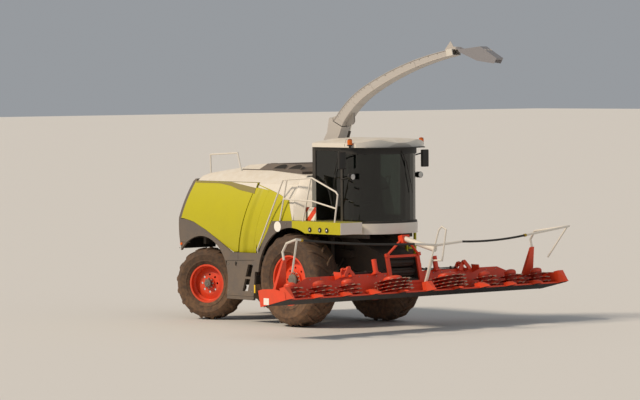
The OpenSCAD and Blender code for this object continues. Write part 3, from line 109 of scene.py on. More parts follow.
def on_spout(r: float, y: float, z: float) -> Vector:
    """Point given along the spout, in the row frame."""
    c, s = math.cos(SPOUT_TURN), math.sin(SPOUT_TURN)
    return machine(SPOUT_X + r * c - y * s, r * s + y * c, z)


def bulge(z: float, inset: float = 0.0) -> float:
    """Distance of the bulged side from the machine's middle at a height, moved inwards."""
    return math.sqrt((BULGE_R - inset) ** 2 - (z - BULGE_Z) ** 2) - BULGE_IN


class Side(Enum):
    """Side of the machine, as the sign of y."""

    RIGHT = -1
    LEFT = 1

    @property
    def word(self) -> str:
        """Side's name as the CAD nodes use it."""
        return self.name.lower()

    def span(self, near: float, far: float) -> tuple[float, float]:
        """Lowest and highest y of a stretch given by its distances from the middle."""
        low, high = sorted((self.value * near, self.value * far))
        return low, high


def linear(code: str) -> tuple[float, float, float, float]:
    """Turns an sRGB hex value into linear colour.

    Args:
        code: Six hex digits after a hash.

    Returns:
        Linear red, green, blue and an alpha of 1.
    """
    parts = [int(code[i:i + 2], 16) / 255 for i in (1, 3, 5)]
    red, green, blue = (p / 12.92 if p <= 0.04045 else ((p + 0.055) / 1.055) ** 2.4 for p in parts)
    return red, green, blue, 1.0


def add_node(tree: bpy.types.NodeTree, kind: str, settings: dict | None = None,
             inputs: dict | None = None) -> bpy.types.Node:
    """Adds one shader node with its settings and links.

    Args:
        tree: Node tree that takes the node.
        kind: Blender's type name of the node.
        settings: Attributes to set on the node.
        inputs: Values or output sockets by input name or number.

    Returns:
        The new node.
    """
    node = tree.nodes.new(kind)
    for key, value in (settings or {}).items():
        setattr(node, key, value)
    for key, value in (inputs or {}).items():
        if isinstance(value, bpy.types.NodeSocket):
            tree.links.new(value, node.inputs[key])
        else:
            node.inputs[key].default_value = value
    return node


def stretch(tree: bpy.types.NodeTree, value: bpy.types.NodeSocket, given: tuple[float, float],
            wanted: tuple[float, float]) -> bpy.types.NodeSocket:
    """Maps a value from one range to another.

    Args:
        tree: Node tree that takes the node.
        value: Socket of the value.
        given: Range of the value.
        wanted: Range that it is stretched to.

    Returns:
        Socket of the mapped value.
    """
    return add_node(tree, "ShaderNodeMapRange", inputs={
        "Value": value, "From Min": given[0], "From Max": given[1],
        "To Min": wanted[0], "To Max": wanted[1]}).outputs["Result"]


def new_material(name: str) -> tuple[bpy.types.Material, bpy.types.NodeTree, bpy.types.Node]:
    """Makes an empty material.

    Args:
        name: Material's name.

    Returns:
        The material, its node tree and its output node.
    """
    material = bpy.data.materials.new(name)
    material.use_nodes = True
    material.node_tree.nodes.clear()
    return material, material.node_tree, material.node_tree.nodes.new("ShaderNodeOutputMaterial")


@dataclass(frozen=True)
class CoatedFinish:
    """Painted, moulded or rubber surface with fine mottling and harvest dust.

    Dust gathers in patches, on faces that look up and towards the ground. dust_low and dust_top
    are its share near the ground and on level faces.
    """

    name: str
    colour: str
    roughness: float
    dust: str = "#9a8468"
    dust_low: float = 0.45
    dust_top: float = 0.25
    metallic: float = 0.0
    coat: float = 0.0
    patch_mm: float = 220.0
    grain_mm: float = 6.0
    grain_depth: float = 0.0

    def build(self) -> bpy.types.Material:
        """Makes the material."""
        material, tree, output = new_material(self.name)
        place = add_node(tree, "ShaderNodeTexCoord").outputs["Object"]
        patches = add_node(tree, "ShaderNodeTexNoise", inputs={
            "Vector": place, "Scale": 1000 / self.patch_mm, "Detail": 6.0, "Roughness": 0.62})
        # Height of the point: dust is thickest near the ground
        height = add_node(tree, "ShaderNodeSeparateXYZ", inputs={0: place}).outputs["Z"]
        low = stretch(tree, height, DUST_BAND, (self.dust_low, DUST_HIGH))
        normal = add_node(tree, "ShaderNodeNewGeometry").outputs["Normal"]
        facing = add_node(tree, "ShaderNodeSeparateXYZ", inputs={0: normal}).outputs["Z"]
        top = stretch(tree, facing, DUST_FACING, (0.0, self.dust_top))
        total = add_node(tree, "ShaderNodeMath", {"operation": "ADD"}, {0: low, 1: top})
        spread = stretch(tree, patches.outputs["Fac"], PATCH_NOISE, PATCH_STRENGTH)
        amount = add_node(tree, "ShaderNodeMath", {"operation": "MULTIPLY", "use_clamp": True},
                          {0: total.outputs[0], 1: spread})
        colour = add_node(tree, "ShaderNodeMix", {"data_type": "RGBA"}, {
            "Factor": amount.outputs[0], 6: linear(self.colour), 7: linear(self.dust)})
        rough = add_node(tree, "ShaderNodeMix", {"data_type": "FLOAT"}, {
            "Factor": amount.outputs[0], 2: self.roughness, 3: DUST_ROUGHNESS})
        shader = add_node(tree, "ShaderNodeBsdfPrincipled", inputs={
            "Base Color": colour.outputs[2], "Roughness": rough.outputs[0],
            "Metallic": self.metallic, "Coat Weight": self.coat, "Coat Roughness": 0.15})
        if self.grain_depth > 0:
            grain = add_node(tree, "ShaderNodeTexNoise", inputs={
                "Vector": place, "Scale": 1000 / self.grain_mm, "Detail": 2.0})
            bump = add_node(tree, "ShaderNodeBump", inputs={
                "Height": grain.outputs["Fac"], "Strength": self.grain_depth, "Distance": 0.004})
            tree.links.new(bump.outputs["Normal"], shader.inputs["Normal"])
        tree.links.new(shader.outputs[0], output.inputs["Surface"])
        return material


@dataclass(frozen=True)
class ClearFinish:
    """Tinted glass or lamp lens, smooth on both faces."""

    name: str
    colour: str
    roughness: float
    transmission: float
    ior: float = 1.5

    def build(self) -> bpy.types.Material:
        """Makes the material."""
        material, tree, output = new_material(self.name)
        shader = add_node(tree, "ShaderNodeBsdfPrincipled", inputs={
            "Base Color": linear(self.colour), "Roughness": self.roughness,
            "Transmission Weight": self.transmission, "IOR": self.ior})
        tree.links.new(shader.outputs[0], output.inputs["Surface"])
        return material


@dataclass(frozen=True)
class MetalFinish:
    """Bare metal, polished or brushed, whose fine scratches vary its roughness."""

    name: str
    colour: str
    roughness: float
    scratch_mm: float = 3.0

    def build(self) -> bpy.types.Material:
        """Makes the material."""
        material, tree, output = new_material(self.name)
        place = add_node(tree, "ShaderNodeTexCoord").outputs["Object"]
        wear = add_node(tree, "ShaderNodeTexNoise", inputs={
            "Vector": place, "Scale": 1000 / self.scratch_mm, "Detail": 3.0})
        rough = stretch(tree, wear.outputs["Fac"], (0.0, 1.0),
                        (self.roughness * 0.7, self.roughness * 1.4))
        shader = add_node(tree, "ShaderNodeBsdfPrincipled", inputs={
            "Base Color": linear(self.colour), "Metallic": 1.0, "Roughness": rough})
        tree.links.new(shader.outputs[0], output.inputs["Surface"])
        return material


class Finishes:
    """All finishes of the machine, each made once when it is first asked for."""

    def __init__(self) -> None:
        """Lists the finishes by name."""
        self._made: dict[str, bpy.types.Material] = {}
        kinds = [
            # Side covers: full yellow-green enamel, its gloss dulled by a season's dust
            CoatedFinish("lime_enamel", "#b8b000", 0.42, "#8f8426", 0.14, 0.30, coat=0.06),
            # Hood, roof and rails: warm white enamel with a soft highlight
            CoatedFinish("white_enamel", "#dbd5ca", 0.35, "#b5a283", 0.10, 0.25, coat=0.2),
            # Header and rims: bright orange-red enamel, browned low down
            CoatedFinish("red_enamel", "#e8451f", 0.38, "#8e4a2c", 0.22, 0.25, coat=0.15),
            # Lower panels: matt warm grey moulding with a fine grain
            CoatedFinish("grey_panel", "#5f5853", 0.62, "#8a755c", 0.30, 0.25, grain_depth=0.15),
            # Chassis: powder coat, near black under brown dust
            CoatedFinish("frame_coat", "#34322f", 0.55, "#7d6c56", 0.45, 0.35),
            # Engine and hubs: rough grey casting
            CoatedFinish("block_cast", "#6d6a64", 0.7, "#7d6c56", 0.3, 0.3, grain_depth=0.3),
            # Spout: galvanised sheet under thin grey paint, dusty all over
            CoatedFinish("spout_sheet", "#c3bdb6", 0.45, "#a3937c", 0.1, 0.25, metallic=0.15),
            # Tyres: dull vulcanised rubber, brown with dried soil
            CoatedFinish("tyre_rubber", "#352b25", 0.85, "#6f543d", 0.75, 0.15, patch_mm=90.0,
                         grain_mm=12.0, grain_depth=0.5),
            # Small mouldings: black plastic with a faint sheen
            CoatedFinish("black_moulding", "#191918", 0.5, "#6b5d4b", 0.3, 0.15),
            # Hoses and skirts: smooth black rubber
            CoatedFinish("hose_rubber", "#161514", 0.6, "#5c5142", 0.2, 0.15),
            # Seat: dark woven cloth that shows no highlight
            CoatedFinish("seat_cloth", "#3f3f3d", 0.95, "#5c5347", 0.1, 0.1, grain_mm=3.0,
                         grain_depth=0.6),
            # Tooth tips: pale hard facing, stained by the crop
            CoatedFinish("tooth_white", "#b5a795", 0.5, "#8a6a4c", 0.55, 0.3),
            # Crop housings and feed rollers under the cab: dark sheet as painted shade under the
            # cab, with brown dust on its flats
            CoatedFinish("sooty_sheet", "#2b2622", 0.7, "#5a4835", 0.35, 0.3),
            # Rotor discs: red paint rubbed by the crop to a dull brown
            CoatedFinish("worn_red", "#c4391d", 0.5, "#4a2c20", 0.35, 0.12),
            # Flap at the spout's end: grey sheet darkened as painted shade of the flap
            CoatedFinish("worn_sheet", "#8b898c", 0.5, "#6d675f", 0.3, 0.15),
            # Skids that slide on the ground: near black with a film of soil, also painted shade
            # under the raised header
            CoatedFinish("soil_black", "#12100e", 0.75, "#2e241b", 0.3, 0.2),
            # Strip along the covers' top: grey-green, painted shade of their inward rounding with
            # settled dust
            CoatedFinish("olive_seal", "#857a45", 0.75, "#94805c", 0.2, 0.3),
            # Sign, label and plate: plain white film, nearly clean
            CoatedFinish("sign_white", "#efece4", 0.45, "#b5a283", 0.12, 0.1),
            # Side reflector: clear yellow with a sharp highlight
            CoatedFinish("yellow_reflector", "#f0c400", 0.25, "#b5a283", 0.15, 0.1),
            # Meshes over openings: black that gives nothing back, painted shade of the hollows
            # behind them
            CoatedFinish("black_mesh", "#0c0c0b", 0.9, "#4a4034", 0.1, 0.2),
            # Cab screen, switched off: glossy blue-black
            CoatedFinish("screen_glass", "#0a0d10", 0.08, "#4a4034", 0.0, 0.0),
            # Hose clamps: yellow zinc plating
            CoatedFinish("brass_clamp", "#b99a2e", 0.4, "#8a6f4a", 0.1, 0.1, metallic=0.8),
            # Bolts and treads: grey steel, brushed by use
            MetalFinish("bare_steel", "#a9a49c", 0.35),
            # Mirrors: a clear image
            MetalFinish("mirror_silver", "#e8e8e8", 0.03),
            # Piston rods and lamp bowls: bright chrome
            MetalFinish("chromed_rod", "#d6d6d4", 0.12),
            # Cab windows: dark green-grey laminated glass
            ClearFinish("cab_glass", "#26322c", 0.02, 0.96),
            # Beacons, turn lamps and markers: deep amber, lit through
            ClearFinish("amber_lens", "#ff7a08", 0.15, 0.35),
            # Tail lamps: deep red, lit through
            ClearFinish("red_lens", "#c31a10", 0.15, 0.3),
            # Work lamps: clear cover that shows the bowl
            ClearFinish("lamp_lens", "#f2f0ea", 0.08, 0.5),
        ]
        self._kinds = {kind.name: kind for kind in kinds}

    def __getitem__(self, name: str) -> bpy.types.Material:
        """Material of that name."""
        if name not in self._made:
            self._made[name] = self._kinds[name].build()
        return self._made[name]


FINISHES = Finishes()

# CAD nodes whose finish differs from that of their material slot
NODE_FINISH = {
    # Housings and feed rollers under the cab are darkened as painted shade
    "intake_housing": "sooty_sheet", "chopper_housing": "sooty_sheet",
    "feed_roller_lower": "sooty_sheet", "feed_roller_upper": "sooty_sheet",
    # The flap's darker grey is painted shade
    "spout_flap": "worn_sheet",
    **{f"rotor_{size}_{side}": "worn_red" for size in ("large", "inner", "middle", "outer")
       for side in ("right", "left")},
}
# Which finish each CAD material slot wears
SLOT_FINISH = {
    "lime_paint": "lime_enamel", "white_paint": "white_enamel", "grey_panel": "grey_panel",
    "grey_steel": "grey_panel", "red_paint": "red_enamel", "tyre_rubber": "tyre_rubber",
    "frame_paint": "frame_coat", "cast_grey": "block_cast", "bare_steel": "bare_steel",
    "rod_chrome": "chromed_rod", "spout_paint": "spout_sheet", "window_glass": "cab_glass",
    "dark_plastic": "black_moulding", "seat_fabric": "seat_cloth", "hose_rubber": "hose_rubber",
}


def block(bm: bmesh.types.BMesh, low: Vector, high: Vector) -> list[bmesh.types.BMVert]:
    """Adds a box between two corners.

    Args:
        bm: Mesh to add to.
        low: Lowest corner.
        high: Highest corner.

    Returns:
        The box's vertices.
    """
    size = high - low
    place = Matrix.Translation((low + high) / 2) @ Matrix.Diagonal((*size, 1.0))
    return bmesh.ops.create_cube(bm, size=1.0, matrix=place)["verts"]


def add_box(bm: bmesh.types.BMesh, place: Matrix, low: tuple[float, float, float],
            high: tuple[float, float, float]) -> None:
    """Adds a box between two corners of a turned frame.

    Args:
        bm: Mesh to add to.
        place: The frame.
        low: Lowest corner in it.
        high: Highest corner in it.
    """
    bmesh.ops.transform(bm, verts=block(bm, Vector(low), Vector(high)), matrix=place)


def along_axis(a: Vector, b: Vector) -> Matrix:
    """Placement whose z runs from a to b, with its origin halfway."""
    turn = (b - a).to_track_quat("Z", "Y").to_matrix().to_4x4()
    return Matrix.Translation((a + b) / 2) @ turn


def rod(bm: bmesh.types.BMesh, a: Vector, b: Vector, radius: float, sides: int = 16,
        end_radius: float | None = None) -> None:
    """Adds a round bar or cone from a to b.

    Args:
        bm: Mesh to add to.
        a: Middle of the first end.
        b: Middle of the last end.
        radius: Radius at a.
        sides: Sides round the bar.
        end_radius: Radius at b, if it differs.
    """
    last = radius if end_radius is None else end_radius
    bmesh.ops.create_cone(bm, cap_ends=True, segments=sides, radius1=radius, radius2=last,
                          depth=(b - a).length, matrix=along_axis(a, b))


def tube(bm: bmesh.types.BMesh, route: list[Vector], radius: float, sides: int = 10) -> None:
    """Adds a bent tube, drawn ring by ring along a route.

    Args:
        bm: Mesh to add to.
        route: Points that the tube's middle follows.
        radius: Tube's radius.
        sides: Sides round the tube.
    """
    ring = bmesh.ops.create_circle(bm, cap_ends=True, segments=sides, radius=radius,
                                   matrix=ring_place(route, 0))["verts"]
    edges = list({e for v in ring for e in v.link_edges})
    for i in range(1, len(route)):
        made = bmesh.ops.extrude_edge_only(bm, edges=edges)["geom"]
        verts = [g for g in made if isinstance(g, bmesh.types.BMVert)]
        edges = [g for g in made if isinstance(g, bmesh.types.BMEdge)]
        bmesh.ops.transform(bm, verts=verts,
                            matrix=ring_place(route, i) @ ring_place(route, i - 1).inverted())
    bmesh.ops.contextual_create(bm, geom=edges)


def ring_place(route: list[Vector], i: int) -> Matrix:
    """Placement of a tube's ring at point i, across the mean direction there.

    Args:
        route: Points that the tube's middle follows.
        i: Number of the point.

    Returns:
        Placement with z along the tube.
    """
    ahead = route[min(i + 1, len(route) - 1)] - route[i]
    behind = route[i] - route[max(i - 1, 0)]
    way = ahead.normalized() + behind.normalized()
    # Any direction that the tubes don't run in gives the ring a steady turn
    side = way.cross(Vector((0.13, 0.21, 0.97)))
    if side.length < 1e-3:
        side = way.cross(Vector((1, 0, 0)))
    z = way.normalized()
    x = side.normalized()
    y = z.cross(x)
    turn = Matrix((x, y, z)).transposed().to_4x4()
    return Matrix.Translation(route[i]) @ turn


def slab(bm: bmesh.types.BMesh, outline: list[Vector], depth: Vector) -> None:
    """Adds a flat outline pulled to a depth.

    Args:
        bm: Mesh to add to.
        outline: Corners of the outline.
        depth: How far and where it is pulled.
    """
    face = bm.faces.new([bm.verts.new(p) for p in outline])
    made = bmesh.ops.extrude_face_region(bm, geom=[face], use_keep_orig=True)["geom"]
    verts = [g for g in made if isinstance(g, bmesh.types.BMVert)]
    bmesh.ops.translate(bm, verts=verts, vec=depth)


def bent_panel(bm: bmesh.types.BMesh, where: Callable[[float, float, int], Vector], across: int,
               up: int) -> None:
    """Adds a closed skin over a curved face.

    Args:
        bm: Mesh to add to.
        where: Point by the share across, the share up, and 0 or 1 for its two faces.
        across: Steps across.
        up: Steps up.
    """
    flat = bmesh.ops.create_grid(bm, x_segments=across, y_segments=up, size=0.5)["verts"]
    faces = list({f for v in flat for f in v.link_faces})
    made = bmesh.ops.extrude_face_region(bm, geom=faces, use_keep_orig=True)["geom"]
    high = [g for g in made if isinstance(g, bmesh.types.BMVert)]
    for verts, level in ((flat, 0), (high, 1)):
        for vert in verts:
            vert.co = where(vert.co.x + 0.5, vert.co.y + 0.5, level)


def lathe(bm: bmesh.types.BMesh, profile: list[tuple[float, float]], place: Matrix,
          sides: int = 32) -> None:
    """Adds a turned shape.

    Args:
        bm: Mesh to add to.
        profile: Radius and height of each point, from the axis round to the axis.
        place: Placement whose z is the axis.
        sides: Sides round the shape.
    """
    points = [bm.verts.new(place @ Vector((r, 0.0, h))) for r, h in profile]
    edges = [bm.edges.new(pair) for pair in zip(points, points[1:])]
    bmesh.ops.spin(
        bm, geom=points + edges, cent=place.translation, axis=place.to_3x3() @ Vector((0, 0, 1)),
        angle=math.tau, steps=sides, use_merge=True, use_duplicate=False)
    bmesh.ops.remove_doubles(bm, verts=bm.verts[:], dist=1e-6)


def piece(name: str, bm: bmesh.types.BMesh, finish: str, body: str | None,
          bevel: float = 0.0) -> bpy.types.Object:
    """Finishes a mesh and hangs it on a body.

    Args:
        name: Piece's name.
        bm: Mesh, in the row frame.
        finish: Name of its finish.
        body: CAD body that carries it, or None to leave it on no body.
        bevel: Width of the chamfer on its sharp edges, in metres.

    Returns:
        The piece's object.
    """
    bmesh.ops.remove_doubles(bm, verts=bm.verts[:], dist=1e-5)
    bmesh.ops.recalc_face_normals(bm, faces=bm.faces[:])
    if bevel > 0:
        sharp = [e for e in bm.edges if e.is_manifold and e.calc_face_angle(0.0) > SMOOTH]
        bmesh.ops.bevel(bm, geom=sharp, offset=bevel, offset_type="OFFSET", affect="EDGES",
                        segments=1, profile=0.5, material=-1, clamp_overlap=True)
    for face in bm.faces:
        face.smooth = True
    for edge in bm.edges:
        edge.smooth = not edge.is_manifold or edge.calc_face_angle(0.0) < SMOOTH
    mesh = bpy.data.meshes.new(name)
    bm.to_mesh(mesh)
    bm.free()
    mesh.materials.append(FINISHES[finish])
    thing = bpy.data.objects.new(name, mesh)
    bpy.context.scene.collection.objects.link(thing)
    if body is not None:
        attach(thing, body)
    log.info("%s on %s, %d faces", name, body, len(mesh.polygons))
    return thing


def dress_nodes(frame: dict) -> None:
    """Gives every CAD node its own finish or that of its material slot.
    """
    slots = {part["node"]: part["material_slot"] for part in frame["record"]["subparts"]}
    for name, node in frame["nodes"].items():
        node.data.materials.clear()
        finish = NODE_FINISH.get(name, SLOT_FINISH[slots[name]])
        node.data.materials.append(FINISHES[finish])


@dataclass
class Studio:
    """Pale floor, soft light and the camera at the photograph's place."""

    floor_half: float = 300.0
    # Camera from the front axle, as fitted to the photograph, and its lens in millimetres
    camera_place: tuple[float, float, float] = (52.102, -45.322, 5.184)
    yaw: float = math.radians(139.35)
    pitch: float = math.radians(-2.160)
    roll: float = math.radians(-0.387)
    lens: float = 186.7
    sensor_w: float = 36.0
    sky: float = 0.42

    def build(self) -> None:
        """Makes the floor, the lights and the camera."""
        self.make_floor()
        self.make_light()
        self.make_camera()

    def make_floor(self) -> None:
        """Makes the floor, which isn't part of the object."""
        bm = bmesh.new()
        bmesh.ops.create_grid(bm, x_segments=1, y_segments=1, size=self.floor_half)
        mesh = bpy.data.meshes.new("floor")
        bm.to_mesh(mesh)
        bm.free()
        material, tree, output = new_material("pale_floor")
        shader = add_node(tree, "ShaderNodeBsdfPrincipled", inputs={
            "Base Color": linear("#d0cdc8"), "Roughness": 0.9})
        tree.links.new(shader.outputs[0], output.inputs["Surface"])
        mesh.materials.append(material)
        floor = bpy.data.objects.new("floor", mesh)
        bpy.context.scene.collection.objects.link(floor)

    def make_light(self) -> None:
        """Makes a broad key light from the photograph's sun side and an even sky."""
        world = bpy.data.worlds.new("studio")
        bpy.context.scene.world = world
        world.use_nodes = True
        background = world.node_tree.nodes["Background"]
        background.inputs["Color"].default_value = linear("#dfe4ea")
        background.inputs["Strength"].default_value = self.sky
        # Paint keeps its full colour in the light, as a camera shows it
        bpy.context.scene.view_settings.view_transform = "Standard"
        # Strength, spread, turn from the view with its drop, all in degrees, and tint
        for name, energy, spread, turn, tint in (
                ("key", 3.1, 10.0, (-68.0, -41.0), "#ffefda"),
                ("fill", 0.35, 60.0, (50.0, -35.0), "#e8eef8")):
            light = bpy.data.lights.new(name, "SUN")
            light.energy = energy
            light.color = linear(tint)[:3]
            light.angle = math.radians(spread)
            thing = bpy.data.objects.new(name, light)
            bpy.context.scene.collection.objects.link(thing)
            azimuth, drop = (math.radians(a) for a in turn)
            way = Vector((math.cos(drop) * math.cos(self.yaw + azimuth),
                          math.cos(drop) * math.sin(self.yaw + azimuth), math.sin(drop)))
            thing.rotation_euler = way.to_track_quat("-Z", "Y").to_euler()

    def make_camera(self) -> None:
        """Makes the camera from the fitted place, direction and lens."""
        way = Vector((math.cos(self.pitch) * math.cos(self.yaw),
                      math.cos(self.pitch) * math.sin(self.yaw), math.sin(self.pitch)))
        level = way.cross(Vector((0, 0, 1))).normalized()
        upright = level.cross(way)
        c, s = math.cos(self.roll), math.sin(self.roll)
        right = c * level + s * upright
        up = -s * level + c * upright
        data = bpy.data.cameras.new("camera")
        data.lens = self.lens
        data.sensor_width = self.sensor_w
        data.clip_end = 1000.0
        thing = bpy.data.objects.new("camera", data)
        bpy.context.scene.collection.objects.link(thing)
        turn = Matrix((right, up, -way)).transposed().to_4x4()
        thing.matrix_world = Matrix.Translation(machine(*self.camera_place)) @ turn
        bpy.context.scene.camera = thing


@dataclass
class Wheel:
    """Tyre, bolts and hub cap of one wheel, drawn about its own axle."""

    name: str
    diameter: float
    width: float
    rim: float
    lugs: int
    # The hub's outer face, from the middle of the wheel, and its bolts
    hub_face: float
    bolt_circle: float
    bolts: int
    flange_r: float
    side: Side
    place: Matrix
    lug_h: float = 0.036
    # Where a lug starts and how far it runs, as shares of the tyre's width
    lug_start: float = 0.012
    lug_run: float = 0.445
    # Half a lug's width at its start, what it gains on its way and what it loses to its top
    lug_half: float = 0.034
    lug_gain: float = 0.016
    lug_taper: float = 0.28
    # Slant of a lug as a share of the tyre's width
    lug_sweep: float = 0.30
    # Radius, sides and outer end of a bolt's washer, nut and stud
    bolt_steps: tuple[tuple[float, int, float], ...] = (
        (0.019, 16, 0.006), (0.014, 6, 0.024), (0.008, 10, 0.034))

    @property
    def body(self) -> str:
        """CAD body of the wheel."""
        return f"wheel_{self.name}"

    @property
    def tread_r(self) -> float:
        """Radius of the bare tread at the middle."""
        return self.diameter / 2 - self.lug_h

    def build(self) -> None:
        """Builds the tyre in place of the plain one, and the hub's bolts and cap."""
        self.build_tyre()
        self.build_hub()

    def profile(self) -> list[tuple[float, float]]:
        """Half of the tyre's section from bead to crown: radius and distance from the middle."""
        top = self.tread_r
        bead = self.rim / 2 + 0.001
        side = top - bead
        w = self.width
        return [
            (bead, 0.40 * w), (bead + 0.02, 0.44 * w), (bead + 0.06, 0.465 * w),
            (bead + 0.068, 0.482 * w), (bead + 0.082, 0.484 * w), (bead + 0.09, 0.474 * w),
            (bead + 0.42 * side, 0.496 * w), (bead + 0.56 * side, 0.5 * w),
            (bead + 0.60 * side, 0.508 * w), (bead + 0.63 * side, 0.507 * w),
            (bead + 0.65 * side, 0.496 * w), (bead + 0.78 * side, 0.478 * w),
            (top - 0.045, 0.44 * w), (top - 0.016, 0.37 * w), (top - 0.004, 0.22 * w), (top, 0.0)]

    def crown(self, out: float) -> float:
        """Radius of the bare tread at a distance from the middle, rounded off at the shoulder."""
        share = abs(out) / (0.5 * self.width)
        return self.tread_r - 0.07 * max(share - 0.55, 0.0) ** 1.6 / 0.45 ** 1.6 - 0.006 * share

    def build_tyre(self) -> None:
        """Turns the carcass and sets two rows of curved lugs on it."""
        half = self.profile()
        bm = bmesh.new()
        lathe(bm, half + [(r, -out) for r, out in reversed(half[:-1])], self.place, sides=96)
        carcass = piece(f"tyre_{self.name}", bm, "tyre_rubber", self.body)
        bm = bmesh.new()
        for row in (-1, 1):
            for i in range(self.lugs):
                turn = (i + (0.5 if row < 0 else 0.0)) * math.tau / self.lugs
                self.add_lug(bm, row, turn)
        lugs = piece(f"tyre_lugs_{self.name}", bm, "tyre_rubber", self.body,
                     bevel=0.006)
        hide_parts(f"tyre_{self.name}")
        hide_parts(f"tyre_{self.name}")

    def add_lug(self, bm: bmesh.types.BMesh, row: int, turn: float) -> None:
        """Adds one lug, bent round the tread.

        Args:
            bm: Mesh to add to.
            row: -1 or 1, the tread's half.
            turn: Angle of the lug round the axle.
        """
        radius = self.diameter / 2
        sweep = self.lug_sweep * self.width

        def where(along: float, share: float, level: int) -> Vector:
            """Point of the lug along and across it, at its foot in the tread or on its top."""
            out = row * self.width * (self.lug_start + self.lug_run * along)
            half = (self.lug_half + self.lug_gain * along) * (1.0 - self.lug_taper * level)
            angle = turn + ((along ** 0.8 - 0.5) * 1.15 * sweep + (share - 0.5) * 2 * half) / radius
            base = self.crown(out)
            drop = 0.030 * max(along - 0.72, 0.0) / 0.28
            reach = min(base + self.lug_h - drop if level else base - 0.012, radius - 0.001)
            return self.place @ Vector((reach * math.cos(angle), reach * math.sin(angle), out))

        bent_panel(bm, where, 4, 1)

    def build_hub(self) -> None:
        """Sets the wheel bolts round the hub and a turned cap over its flange."""
        outward = -self.side.value
        bm = bmesh.new()
        for i in range(self.bolts):
            angle = i * math.tau / self.bolts
            x, y = self.bolt_circle * math.cos(angle), self.bolt_circle * math.sin(angle)
            low = 0.0
            for radius, sides, high in self.bolt_steps:
                rod(bm, self.place @ Vector((x, y, outward * (self.hub_face + low))),
                    self.place @ Vector((x, y, outward * (self.hub_face + high))), radius, sides)
                low = high
        piece(f"wheel_bolts_{self.name}", bm, "bare_steel", self.body)
        bm = bmesh.new()
        r = self.flange_r
        cap = [(0.0, 0.041), (0.35 * r, 0.041), (0.42 * r, 0.044), (0.48 * r, 0.036),
               (0.86 * r, 0.034), (0.95 * r, 0.026), (r + 0.004, 0.012), (r + 0.004, 0.002),
               (0.0, 0.002)]
        face = self.place @ Matrix.Translation((0, 0, outward * (self.hub_face + 0.040)))
        if outward < 0:
            face = face @ Matrix.Rotation(math.pi, 4, "X")
        lathe(bm, cap, face, 40)
        piece(f"hub_cap_{self.name}", bm, "block_cast", self.body)


def front_wheel(side: Side) -> Wheel:
    """Front wheel of one side."""
    place = (Matrix.Translation(machine(0, side.value * 1.16, 0.965))
             @ Matrix.Rotation(math.pi / 2, 4, "X"))
    return Wheel(f"front_{side.word}", diameter=1.93, width=0.68, rim=1.04, lugs=19,
                 hub_face=0.136, bolt_circle=0.155, bolts=12, flange_r=0.125, side=side,
                 place=place)


def rear_wheel(side: Side) -> Wheel:
    """Rear wheel of one side, turned about its kingpin as in the photograph."""
    place = (Matrix.Translation(machine(-3.08, side.value * 0.83, 0.77))
             @ Matrix.Rotation(STEER, 4, "Z") @ Matrix.Translation((0, side.value * 0.28, 0))
             @ Matrix.Rotation(math.pi / 2, 4, "X"))
    return Wheel(f"rear_{side.word}", diameter=1.54, width=0.54, rim=0.82, lugs=17,
                 hub_face=0.116, bolt_circle=0.100, bolts=8, flange_r=0.080, side=side,
                 place=place)


